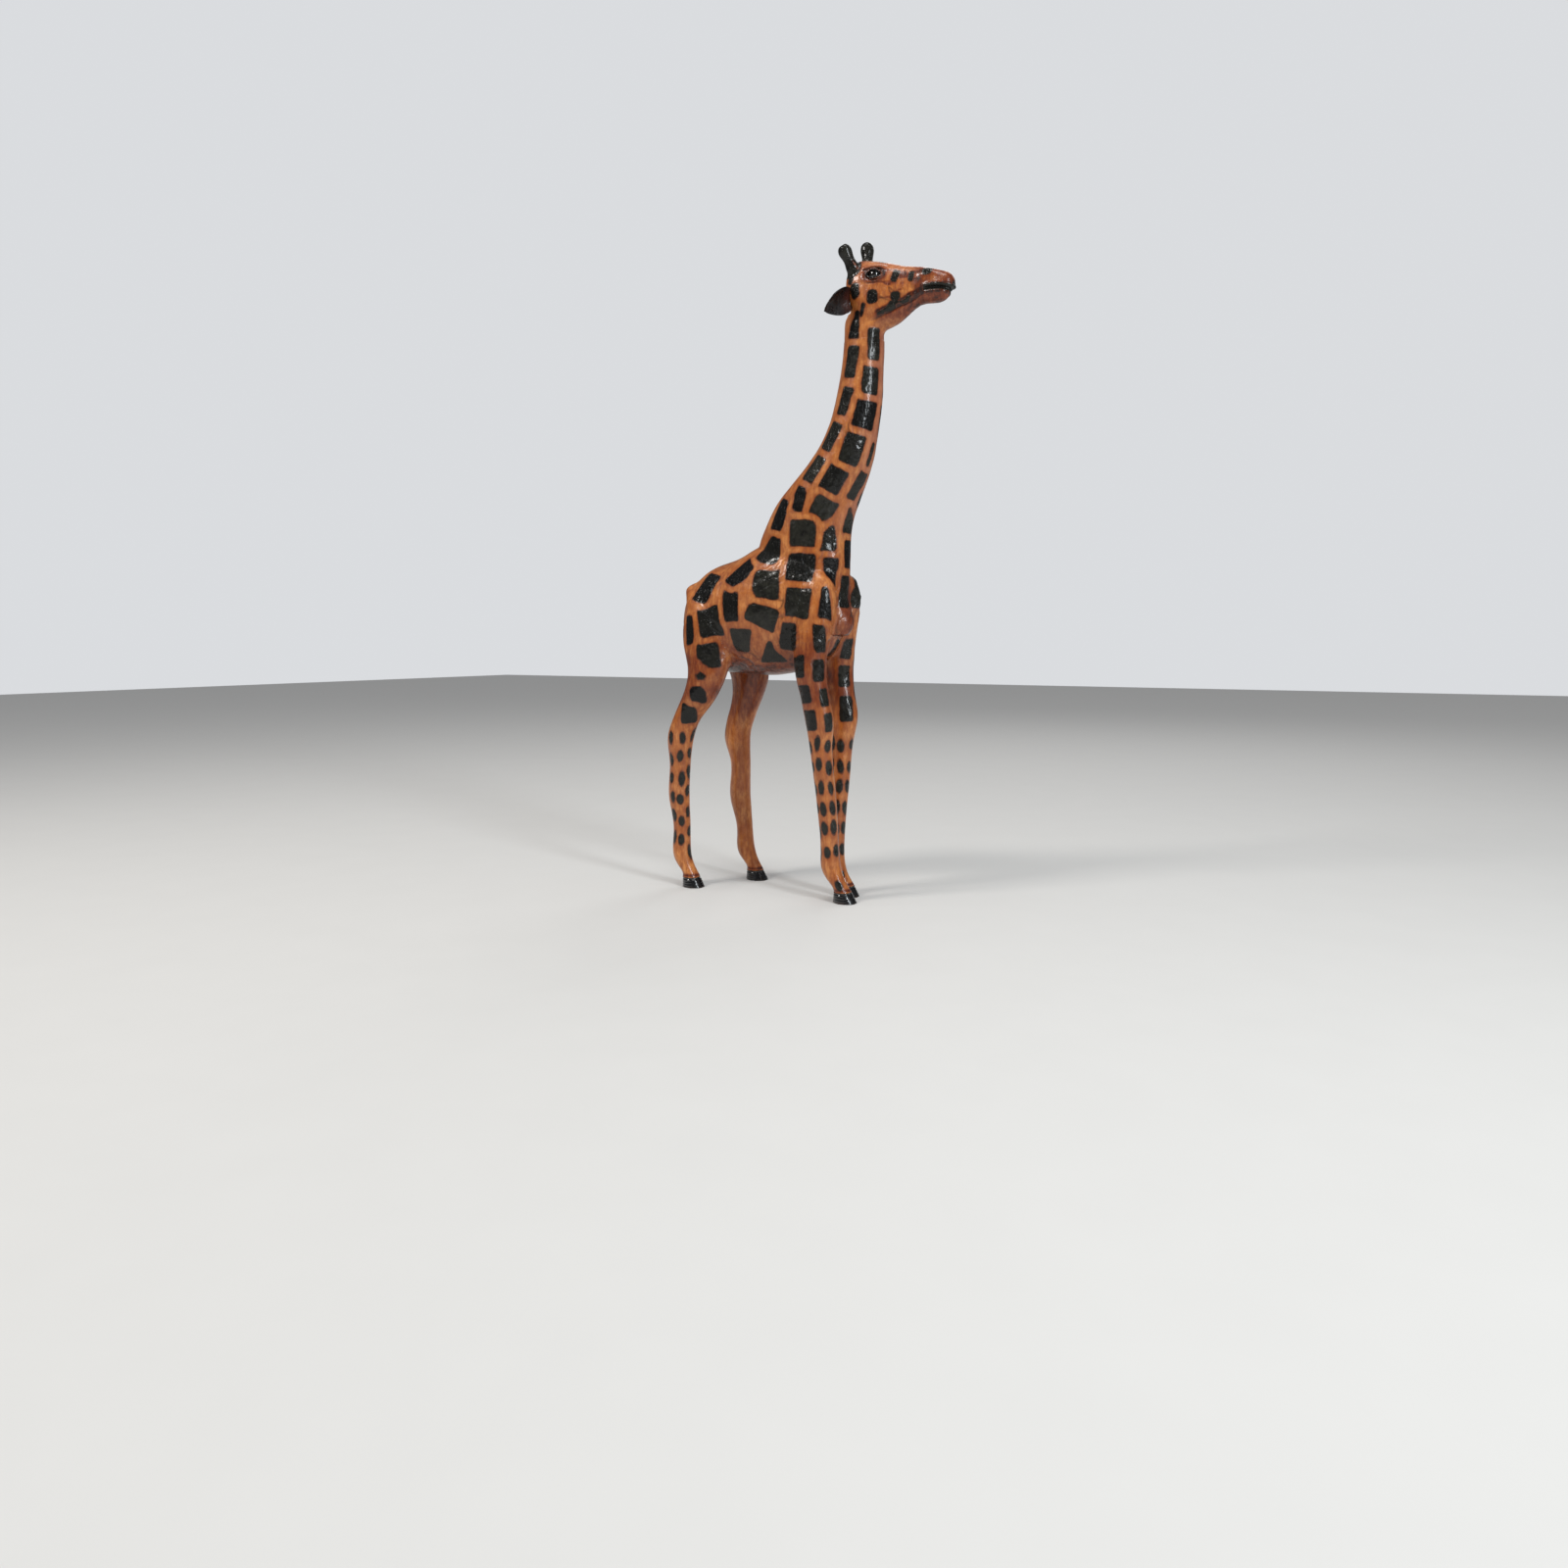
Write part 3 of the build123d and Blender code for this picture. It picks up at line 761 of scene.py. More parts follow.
@dataclass(frozen=True)
class PaintedHide:
    """Tan leather, stained by hand, with black patches, painted shade in creases and undersides, painted pink
    highlights and olive sheen, and a clear lacquer over all.
    """

    tan: Colour = (0.410, 0.118, 0.021)
    pale: Colour = (0.570, 0.220, 0.062)
    russet: Colour = (0.165, 0.030, 0.007)
    # deep red-brown of the stains, also used for the painted shade in creases and on shaded undersides
    dark: Colour = (0.024, 0.0060, 0.0035)
    # painted pink highlight and glare on bare leather
    pink_highlight: Colour = (0.40, 0.17, 0.12)
    black: Colour = (0.0030, 0.0028, 0.0030)
    # painted olive sheen over the black paint
    olive_sheen: Colour = (0.024, 0.023, 0.017)
    bleed: Colour = (0.070, 0.016, 0.005)
    streaked: Colour = (0.255, 0.056, 0.010)
    halo: Colour = (0.23, 0.046, 0.009)
    # grey flecks over the black paint
    grey_fleck: Colour = (0.030, 0.026, 0.020)

    def build(self) -> bpy.types.Material:
        """Wires the material.

        Returns:
            The leather material.
        """
        s = Shader("painted lacquered hide")
        place = s.place()
        stain = s.group(Groups.brushing(), {"Place": place})
        blotch, streak, speck = (stain.outputs[k] for k in ("Blotch", "Streak", "Speck"))
        stain_and_shade, crease_shade = s.layer("stain_and_shade"), s.layer("crease_shade")
        edge_noise = s.speckle(place, 2.6, 3.0, 0.6)
        spot = s.math("ADD", s.layer("spot"), s.scaled(edge_noise, 0, 1, -0.75, 0.75))
        colour = s.mix(blotch, self.tan, self.pale)
        colour = s.mix(s.math("MULTIPLY", streak, 0.75), colour, self.streaked)
        colour = s.mix(s.math("MULTIPLY", speck, 0.42), colour, self.russet)
        # painted highlight: pink glare on bare leather; on the ears the same layer marks their real red-brown inner
        # side
        colour = s.mix(s.math("MULTIPLY", s.layer("highlight_and_inner"), 0.8), colour, self.pink_highlight)
        halo = s.math("MULTIPLY", s.mask(spot, 5.2, 0.8), 0.40)
        colour = s.mix(halo, colour, self.halo)
        # real red-brown stain, together with painted shade on the belly, between the legs and under the jaw
        stained_and_shaded = s.math("MULTIPLY", stain_and_shade, s.scaled(streak, 0, 1, 0.75, 1.15), clamp=True)
        colour = s.mix(s.mask(stained_and_shaded, 0.0, 0.62), colour, self.russet)
        colour = s.mix(s.mask(stained_and_shaded, 0.50, 0.92), colour, self.dark)
        # painted shade: darkens the leather in creases and hollows
        colour = s.mix(s.math("MULTIPLY", s.mask(crease_shade, 0.15, 0.9), 0.72), colour, self.dark)
        # painted reflection: olive-grey sheen over the black paint, stronger on some patches than others
        olive_sheen_mask = s.math("MULTIPLY", s.layer("patch_sheen"), s.scaled(s.speckle(place, 9, 3.0, 0.7), 0.3, 0.7, 0.15, 1.0))
        paint = s.mix(olive_sheen_mask, self.black, self.olive_sheen)
        # grey flecks over the black paint
        paint = s.mix(s.math("MULTIPLY", speck, 0.35), paint, self.grey_fleck)
        colour = s.mix(s.mask(spot, 1.55, 0.35), colour, self.bleed)
        painted = s.mask(spot, 0.45, -0.25)
        colour = s.mix(painted, colour, paint)
        gloss = s.scaled(streak, 0, 1, 0.28, 0.44)
        rough = s.math("SUBTRACT", gloss, s.math("MULTIPLY", painted, 0.09))
        grain = s.group(Groups.grain(), {"Place": place, "Pebble": 780.0, "Crease": 170.0})
        height = s.math("ADD", grain.outputs["Height"], s.math("MULTIPLY", painted, 0.25))
        bump = s.node("ShaderNodeBump", {"Height": height, "Strength": 0.5, "Distance": 0.00042})
        pucker = s.speckle(place, 7.5, 1.8, 0.45)
        amount = s.scaled(painted, 0, 1, 0.25, 0.70)
        bump = s.node("ShaderNodeBump", {"Height": pucker, "Strength": amount, "Distance": 0.0020,
                                         "Normal": bump.outputs[0]})
        film = s.node("ShaderNodeBump", {"Height": s.math("ADD", pucker, s.math("MULTIPLY", speck, 0.12)),
                                         "Strength": s.math("MULTIPLY", amount, 0.70), "Distance": 0.0020})
        return s.surface({"Base Color": colour, "Roughness": rough, "Normal": bump.outputs[0],
                          "Coat Weight": s.scaled(painted, 0, 1, 0.36, 0.46), "Coat Roughness": 0.09, "Coat Normal": film.outputs[0],
                          "Specular IOR Level": s.scaled(painted, 0, 1, 0.30, 0.08)})


@dataclass(frozen=True)
class BlackLeather:
    """Black painted leather of the ears and the tuft, with a red-brown inner side where the mask says."""

    black: Colour = (0.0050, 0.0042, 0.0045)
    worn: Colour = (0.018, 0.011, 0.009)
    inner: Colour = (0.060, 0.014, 0.008)

    def build(self) -> bpy.types.Material:
        """Wires the material.

        Returns:
            The black leather material.
        """
        s = Shader("black lacquered leather")
        place = s.place()
        stain = s.group(Groups.brushing(), {"Place": place})
        colour = s.mix(s.math("MULTIPLY", stain.outputs["Streak"], 0.6), self.black, self.worn)
        colour = s.mix(s.math("MULTIPLY", s.layer("highlight_and_inner"), 0.85), colour, self.inner)
        grain = s.group(Groups.grain(), {"Place": place, "Pebble": 1100.0, "Crease": 320.0})
        bump = s.node("ShaderNodeBump", {"Height": grain.outputs["Height"], "Strength": 0.5, "Distance": 0.0004})
        rough = s.scaled(stain.outputs["Blotch"], 0, 1, 0.24, 0.36)
        return s.surface({"Base Color": colour, "Roughness": rough, "Normal": bump.outputs[0], "Coat Weight": 0.4,
                          "Specular IOR Level": 0.2, "Coat Roughness": 0.12})


@dataclass(frozen=True)
class HoofLacquer:
    """Gloss black lacquer on the hooves, rubbed brown at the sole's rim."""

    black: Colour = (0.0040, 0.0038, 0.0045)
    rubbed: Colour = (0.045, 0.022, 0.014)

    def build(self) -> bpy.types.Material:
        """Wires the material.

        Returns:
            The hoof material.
        """
        s = Shader("hoof gloss black")
        place = s.place()
        stain = s.group(Groups.brushing(), {"Place": place})
        wear = s.math("MULTIPLY", s.layer("wear"), stain.outputs["Blotch"])
        colour = s.mix(wear, self.black, self.rubbed)
        ripple = s.speckle(place, 3.5, 3.0, 0.55)
        bump = s.node("ShaderNodeBump", {"Height": ripple, "Strength": 0.35, "Distance": 0.0006})
        rough = s.scaled(stain.outputs["Streak"], 0, 1, 0.16, 0.34)
        return s.surface({"Base Color": colour, "Roughness": rough, "Normal": bump.outputs[0], "Coat Weight": 0.7,
                          "Coat Roughness": 0.08})


@dataclass(frozen=True)
class GlassEye:
    """Dark glass bead: near-black iris under a clear glaze."""

    iris: Colour = (0.010, 0.0055, 0.0035)
    pupil: Colour = (0.0015, 0.0012, 0.0012)

    def build(self) -> bpy.types.Material:
        """Wires the material.

        Returns:
            The eye material.
        """
        s = Shader("dark glass bead")
        veins = s.speckle(s.place(), 1.2, 3.0, 0.6)
        colour = s.mix(s.mask(veins, 0.35, 0.7), self.pupil, self.iris)
        rough = s.scaled(veins, 0, 1, 0.03, 0.08)
        return s.surface({"Base Color": colour, "Roughness": rough, "Coat Weight": 1.0, "Coat Roughness": 0.02,
                          "IOR": 1.52})


@dataclass(frozen=True)
class RawWood:
    """Carved or turned wood that stays hidden inside."""

    name: str
    light: Colour
    dark: Colour
    ring_mm: float

    def build(self) -> bpy.types.Material:
        """Wires the material.

        Returns:
            The wood material.
        """
        s = Shader(self.name)
        place = s.place()
        long = s.node("ShaderNodeMapping", {"Vector": place, "Scale": (1.0, 1.0, 0.12)})
        rings = s.node("ShaderNodeTexWave", {"Vector": long.outputs[0], "Scale": 1 / (self.ring_mm * MM * 6.28),
                                             "Distortion": 5.0, "Detail": 3.0}, wave_type="RINGS")
        fibre = s.speckle(long.outputs[0], 0.8, 3.0, 0.6)
        colour = s.mix(rings.outputs["Fac"], self.light, self.dark)
        colour = s.mix(s.math("MULTIPLY", fibre, 0.3), colour, self.dark)
        bump = s.node("ShaderNodeBump", {"Height": fibre, "Strength": 0.3, "Distance": 0.0003})
        return s.surface({"Base Color": colour, "Roughness": s.scaled(fibre, 0, 1, 0.6, 0.8),
                          "Normal": bump.outputs[0]})


@dataclass(frozen=True)
class PlainFloor:
    """Plain pale matt floor."""

    colour: Colour = (0.62, 0.61, 0.59)

    def build(self) -> bpy.types.Material:
        """Wires the material."""
        s = Shader("pale floor")
        tint = s.speckle(s.place(), 60, 2.0, 0.5)
        pale = s.mix(tint, self.colour, tuple(c * 0.97 for c in self.colour))
        return s.surface({"Base Color": pale, "Roughness": 0.75})


# ------------------------------------------------------------------ the leather skin
@dataclass
class Skin:
    """The whole hide: remeshed from the frame, sculpted, marked and split into its leather pieces."""

    nodes: dict[str, bpy.types.Object]
    body_voxel: float = 1.20
    head_voxel: float = 0.74
    collar: float = 612.0          # height of the seam between the head and the neck
    thickness: float = 1.2
    cores: tuple[str, ...] = ("torso_core", "neck_core", "head_core", "leg_core_fore_right", "leg_core_fore_left",
                              "leg_core_hind_right", "leg_core_hind_left")

    def bvh(self, names: Iterable[str]) -> tuple[BVHTree, list[str]]:
        """Search tree over CAD nodes, in millimetres.

        Args:
            names: the nodes.

        Returns:
            The tree and, for each of its faces, the node that it came from.
        """
        points, faces, owner = [], [], []
        for name in names:
            mesh = self.nodes[name].data
            base = len(points)
            points += [tuple(v.co / MM) for v in mesh.vertices]
            faces += [tuple(base + i for i in p.vertices) for p in mesh.polygons]
            owner += [name] * len(mesh.polygons)
        return BVHTree.FromPolygons(points, faces), owner

    def build(self, finish: bpy.types.Material) -> None:
        """Makes every leather piece.

        Args:
            finish: the leather material.
        """
        hides = [h.value for h in Hide if "hide" in h.value]
        surface, self.owner = self.bvh(hides)
        self.surface = surface
        self.horns = {h: self.bvh([h.value])[0] for h in (Hide.HORN_RIGHT, Hide.HORN_LEFT)}
        self.legs = {h: self.bvh([h.value])[0] for h in Hide if "leg" in h.value}
        self.trunk = self.bvh(["torso_hide", "neck_hide"])[0]
        self.markings = Markings(surface, seed=11)
        everything = [self.nodes[n] for n in (*hides, *self.cores)]
        body = voxelled(merged_copy("body_skin", everything), self.body_voxel)
        upper = ["head_hide", "neck_hide", "head_core", "neck_core", "horn_right", "horn_left"]
        head = voxelled(merged_copy("head_skin", [self.nodes[n] for n in upper]), self.head_voxel)
        trimmed(head, self.collar - 14, keep_above=True)
        self.shape_body(body.data)
        self.shape_head(head.data)
        trimmed(body, self.collar, keep_above=False)
        trimmed(head, self.collar, keep_above=True)
        for skin in (body, head):
            self.finish_skin(skin, finish)

    # ---- shaping
    def shape_body(self, mesh: bpy.types.Mesh) -> None:
        """Softens the joins between limbs and trunk and sculpts the leather's lumps and wrinkles.

        Args:
            mesh: the body's skin, changed in place.
        """
        p, edges = mesh_points(mesh), mesh_edges(mesh)
        p = fair(p, edges, 6)
        near_leg = np.full(len(p), 60.0)
        for tree in self.legs.values():
            near_leg = np.minimum(near_leg, self.distances(tree, p, 26.0))
        near_trunk = self.distances(self.trunk, p, 26.0)
        join = ramp(np.maximum(near_leg, near_trunk), 15.0, 3.0) * ramp(p[:, 2], 190, 235)
        p = relax(p, edges, 46, 0.5 * join)
        set_points(mesh, p)
        n = mesh_normals(mesh)
        lift, crease_shade = self.wrinkles(p, n)
        set_points(mesh, self.clear_of_core(p + n * lift[:, None], n))
        add_layer(mesh, "crease_shade", crease_shade)

    def clear_of_core(self, p: Points, n: Points, least: float = 0.30) -> Points:
        """Pushes out any point of the leather that the wooden core would come through.

        Args:
            p: points in millimetres.
            n: their normals.
            least: how far outside the core every point must stay.

        Returns:
            The corrected points.
        """
        core = self.bvh(name for name in self.cores if name != "head_core")[0]
        p = p.copy()
        for i, point in enumerate(p):
            near, normal, _, _ = core.find_nearest(point, 6.0)
            if near is None or normal.dot(n[i]) < 0.3:
                continue
            out = (Vector(point) - near).dot(normal)
            if out < least:
                p[i] += n[i] * (least - out)
        return p

    def distances(self, tree: BVHTree, p: Points, most: float) -> Points:
        """Distance of every point to a surface, up to a limit.

        Args:
            tree: the surface.
            p: points in millimetres.
            most: the limit.

        Returns:
            Millimetres, one per point.
        """
        out = np.full(len(p), most)
        for i, point in enumerate(p):
            hit = tree.find_nearest(point, most)
            if hit[0] is not None:
                out[i] = hit[3]
        return out

    def wrinkles(self, p: Points, n: Points) -> tuple[Points, Points]:
        """Lumps, puckers and creases of glued leather.

        Args:
            p: points in millimetres.
            n: their normals.

        Returns:
            How far each point is lifted, and how deep in a fold it lies from 0 to 1, which sets the painted shade in
            the creases.
        """
        limb = ramp(p[:, 2], 250, 190) * ramp(p[:, 2], 3, 30)
        trunk = 1 - limb
        lift = 0.55 * noise(p, 34, 3) * (0.35 + 0.65 * trunk) + 0.22 * noise(p, 13, 5) * (0.5 + 0.5 * trunk)
        crease_shade = np.zeros(len(p))
        for place, reach, run, depth in PUCKERS:
            near = gauss(np.linalg.norm(p - np.array(place), axis=1), reach)
            along = np.array(run) / np.linalg.norm(run)
            squeezed = p - (p @ along)[:, None] * along * 0.80
            bent = squeezed + 2.2 * np.stack([noise(p, 9, s) for s in (21, 22, 23)], axis=1)
            crease = ridged(bent, 7.5, 31)
            ridge = ridged(bent + 40.0, 8.5, 35)
            lift += near * (0.5 * noise(bent, 5.5, 33) + depth * (1.5 * ridge - 0.7 * crease))
            crease_shade = np.maximum(crease_shade, near * crease)
        fine_run = p * np.array([1.0, 1.0, 0.42])
        fine = ridged(fine_run + 1.5 * np.stack([noise(p, 8, s) for s in (41, 42, 43)], axis=1), 6.0, 44)
        patchy = ramp(noise(p, 26, 45), 0.0, 0.55)
        lift -= 0.16 * fine * patchy * (0.5 + 0.5 * trunk)
        crease_shade = np.maximum(crease_shade, 0.35 * fine * patchy)
        return lift, crease_shade

    def shape_head(self, mesh: bpy.types.Mesh) -> None:
        """Blends the horns into the skull and sculpts brow, eye hollow, nostril, mouth and cheek.

        Args:
            mesh: the head's skin, changed in place.
        """
        p, edges = mesh_points(mesh), mesh_edges(mesh)
        p = fair(p, edges, 8)
        horn = np.full(len(p), 20.0)
        for tree in self.horns.values():
            horn = np.minimum(horn, self.distances(tree, p, 12.0))
        skull = self.distances(self.surface, p, 12.0)
        join = ramp(np.maximum(horn, skull), 5.0, 1.0) * ramp(p[:, 2], 676, 682)
        p = relax(p, edges, 60, 0.5 * join)
        seam = np.maximum(*(self.distances(self.bvh([name])[0], p, 12.0) for name in ("head_hide", "neck_hide")))
        p = relax(p, edges, 180, 0.5 * ramp(seam, 12.0, 3.0) * ramp(p[:, 2], 616, 624))
        set_points(mesh, p)
        p = self.clear_of_core(p, mesh_normals(mesh))
        set_points(mesh, p)
        n = mesh_normals(mesh)
        lift, crease_shade = FaceSculpt().lift(p)
        lift += 0.35 * noise(p, 15, 61) + 0.16 * noise(p, 6, 62)
        p = p + n * lift[:, None]
        p = relax(p, edges, 2, 0.4)
        set_points(mesh, p)
        add_layer(mesh, "crease_shade", crease_shade)

    def carve_core(self, finish: bpy.types.Material) -> None:
        """Cuts the mouth and the eye hollows into the head's wooden core, just under the leather.

        Args:
            finish: the wood.
        """
        obj = voxelled(merged_copy("head_core_carved", [self.nodes["head_core"]]), 0.9)
        mesh = obj.data
        p = mesh_points(mesh)
        n = mesh_normals(mesh)
        lift = FaceSculpt().lift(p + n * self.thickness)[0]
        set_points(mesh, p + n * (np.minimum(lift, 0) * 1.25 - 0.35)[:, None])
        mesh.materials.clear()
        mesh.materials.append(finish)
        smooth_shaded(obj)
        report(obj, ["head_core"])

    # ---- paint layers and splitting
    def finish_skin(self, skin: bpy.types.Object, finish: bpy.types.Material) -> None:
        """Adds the paint layers and cuts the skin into its pieces.

        Args:
            skin: the sculpted skin.
            finish: the leather material.
        """
        mesh = skin.data
        p, n = mesh_points(mesh), mesh_normals(mesh)
        is_head = skin.name.startswith("head")
        layers = Paint(self.markings).layers(p, n, is_head)
        for name, values in layers.items():
            add_layer(mesh, name, values)
        labels = self.labels(p, is_head)
        corners = np.empty(len(mesh.loops), np.int64)
        mesh.loops.foreach_get("vertex_index", corners)
        starts = np.empty(len(mesh.polygons), np.int64)
        mesh.polygons.foreach_get("loop_start", starts)
        face_label = labels[corners[starts]]
        for number, hide in enumerate(Hide):
            if not (face_label == number).any():
                continue
            self.cut_out(skin, hide, face_label != number, finish)
        bpy.data.objects.remove(skin)

    def labels(self, p: Points, is_head: bool) -> np.ndarray:
        """Which leather piece each point belongs to, as a number in the order of Hide.

        Args:
            p: points in millimetres.
            is_head: whether the points lie on the head's skin.

        Returns:
            One number per point.
        """
        order = {h.value: i for i, h in enumerate(Hide)}
        out = np.empty(len(p), int)
        if is_head:
            out[:] = order["head_hide"]
            for hide, tree in self.horns.items():
                near = self.distances(tree, p, 9.0) < 1.6
                side = p[:, 1] < 0 if hide is Hide.HORN_RIGHT else p[:, 1] > 0
                out[near & side & (p[:, 2] > 696.0 - 0.16 * (p[:, 0] - 50))] = order[hide.value]
            return out
        for i, point in enumerate(p):
            hit = self.surface.find_nearest(point)
            out[i] = order[self.owner[hit[2]]]
        out[out == order["head_hide"]] = order["neck_hide"]
        return out

    def cut_out(self, skin: bpy.types.Object, hide: Hide, drop: np.ndarray, finish: bpy.types.Material) -> None:
        """Makes one leather piece from the part of the skin that belongs to it.

        Args:
            skin: the whole skin.
            hide: the piece.
            drop: marks the faces that aren't part of it.
            finish: the leather material.
        """
        bm = bmesh.new()
        bm.from_mesh(skin.data)
        bm.faces.ensure_lookup_table()
        bmesh.ops.delete(bm, geom=[bm.faces[i] for i in np.flatnonzero(drop)], context="FACES")
        mesh = bpy.data.meshes.new(hide.value + "_leather")
        bm.to_mesh(mesh)
        bm.free()
        obj = bpy.data.objects.new(hide.value + "_leather", mesh)
        bpy.context.scene.collection.objects.link(obj)
        obj.data.materials.append(finish)
        smooth_shaded(obj)
        shell = obj.modifiers.new("thickness", "SOLIDIFY")
        shell.thickness = self.thickness * MM
        shell.offset = -1.0
        report(obj, [hide.value])


PUCKERS = (                # place, reach, direction of the creases, depth in millimetres
    ((-114, -36, 355), 20, (0.2, 0, 1), 0.9),
    ((-27, -46, 360), 20, (1, 0, 0.6), 0.55),
    ((11, -38, 376), 22, (0.5, 0, 1), 0.9),
    ((39, -26, 390), 16, (1, 0, 0.3), 0.6),
    ((0, -42, 296), 20, (1, 0, 0.4), 0.8),
    ((46, -24, 300), 20, (0.6, 0.3, 1), 1.2),
    ((50, 36, 340), 24, (0, 0.3, 1), 1.2),
    ((38, -42, 268), 15, (0, 0, 1), 0.8),
    ((-100, -48, 282), 18, (1, 0, 0.3), 0.7),
    ((46, -28, 466), 14, (0.4, 0, 1), 0.5),
    ((35, -30, 437), 14, (0.6, 0, 1), 0.5),
    ((-114, 36, 355), 20, (0.2, 0, 1), 0.9),
    ((11, 38, 376), 22, (0.5, 0, 1), 0.9),
    ((-60, -30, 272), 20, (1, 0, -0.6), 0.9), ((54, 0, 335), 26, (0.2, 0, 1), 1.0),
    ((0, -40, 330), 26, (0.6, 0, 1), 0.5), ((-102, -46, 312), 18, (1, 0, -0.5), 0.5),
    ((-102, 46, 312), 18, (1, 0, -0.5), 0.6), ((-27, 46, 360), 20, (1, 0, 0.6), 0.6),
    ((66, -23, 520), 14, (0, 0, 1), 0.4),
)


@dataclass(frozen=True)
class FaceSculpt:
    """Sizes of the carved face, in millimetres, the same on both cheeks."""

    eye: Place = (86.2, 17.5, 674.5)
    nostril: Place = (142.5, 9.0, 671.0)
    mouth_corner: float = 139.0
    mouth_front: float = 168.0
    mouth_height: float = 654.6
    mouth_drop: float = 0.06       # how much the mouth line falls towards the front

    def mouth_line(self, x: Points) -> Points:
        """Height of the mouth at each x."""
        return self.mouth_height - (x - self.mouth_corner) * self.mouth_drop + 0.8 * np.sin((x - 139) / 7)

    def lift(self, p: Points) -> tuple[Points, Points]:
        """How the face is raised and cut.

        Args:
            p: points in millimetres.

        Returns:
            Lift along the normal, and how deep in a fold each point lies.
        """
        x, y, z = p[:, 0], np.abs(p[:, 1]), p[:, 2]
        q = np.stack([x, y, z], axis=1)
        flat = np.stack([x - self.eye[0], z - self.eye[2]], axis=1)
        side = ramp(y, 6, 11)
        around = np.hypot(flat[:, 0] / 1.45, flat[:, 1])
        lift = -1.1 * gauss(around, 5.0) * side + 1.15 * gauss(around - 8.2, 2.4) * side
        brow_z = self.eye[2] + 8.6 - 0.012 * (x - 84) ** 2
        brow = gauss(z - brow_z, 2.1) * ramp(x, 68, 75) * ramp(x, 102, 94) * side
        crease = gauss(z - (brow_z - 3.0), 0.9) * ramp(x, 72, 78) * ramp(x, 100, 94) * side
        lift += 1.7 * brow - 0.9 * crease
        below = self.eye[2] - 9.0 + 0.010 * (x - 86) ** 2
        bag = gauss(z - below, 0.9) * ramp(x, 76, 81) * ramp(x, 98, 92) * side
        lift -= 0.8 * bag
        nose = np.linalg.norm((q - np.array(self.nostril)) / np.array([1.25, 1.0, 1.0]), axis=1)
        lift += 2.6 * gauss(nose, 5.2) - 3.4 * gauss(nose, 2.3)
        line = self.mouth_line(x)
        inside = ramp(x, self.mouth_corner - 2, self.mouth_corner + 5)
        lift -= inside * 3.2 * gauss(z - line, 1.25)
        lift += inside * (1.0 * gauss(z - (line + 3.4), 1.8) + 0.9 * gauss(z - (line - 3.6), 1.8))
        lift -= 2.6 * ramp(x, 160, 168) * ramp(z, line + 0.2, line - 2.5)
        snout = np.linalg.norm((q - np.array([163.0, 0.0, 663.0])) / np.array([1.0, 1.4, 1.0]), axis=1)
        lift += 1.6 * gauss(snout, 7.0)
        chin = np.linalg.norm((q - np.array([150.0, 0.0, 645.0])) / np.array([1.6, 1.0, 1.0]), axis=1)
        lift += 1.2 * gauss(chin, 8.0)
        cheek = np.linalg.norm(q - np.array([100.0, 17.0, 655.0]), axis=1)
        bent = q + 2.0 * np.stack([noise(q, 7, s) for s in (71, 72, 73)], axis=1)
        run = np.array([0.55, 0.0, -0.83])
        bent = bent - (bent @ run)[:, None] * run * 0.7
        creases = ridged(bent, 6.0, 74)
        near_cheek = gauss(cheek, 16) + 0.5 * gauss(np.abs(x - 130), 14) * ramp(z, 672, 664)
        lift += near_cheek * (0.55 * noise(bent, 5, 75) - 0.75 * creases)
        jaw_line = 633.5 + (x - 95) * 0.387
        jaw = gauss(z - jaw_line, 1.6) * ramp(x, 78, 90) * ramp(x, 142, 128)
        lift += 0.9 * gauss(z - jaw_line - 3.0, 2.4) * ramp(x, 78, 90) * ramp(x, 142, 128) - 0.9 * jaw
        # painted shade: eye creases, under-eye bag, mouth line, cheek creases, jaw groove and nostril pit are darkened
        # in the colour
        crease_shade = np.maximum.reduce([crease, 0.8 * bag, inside * gauss(z - line, 1.6), near_cheek * creases * 0.9,
                                  0.7 * jaw, gauss(nose, 2.2)])
        return lift, np.clip(crease_shade, 0, 1)


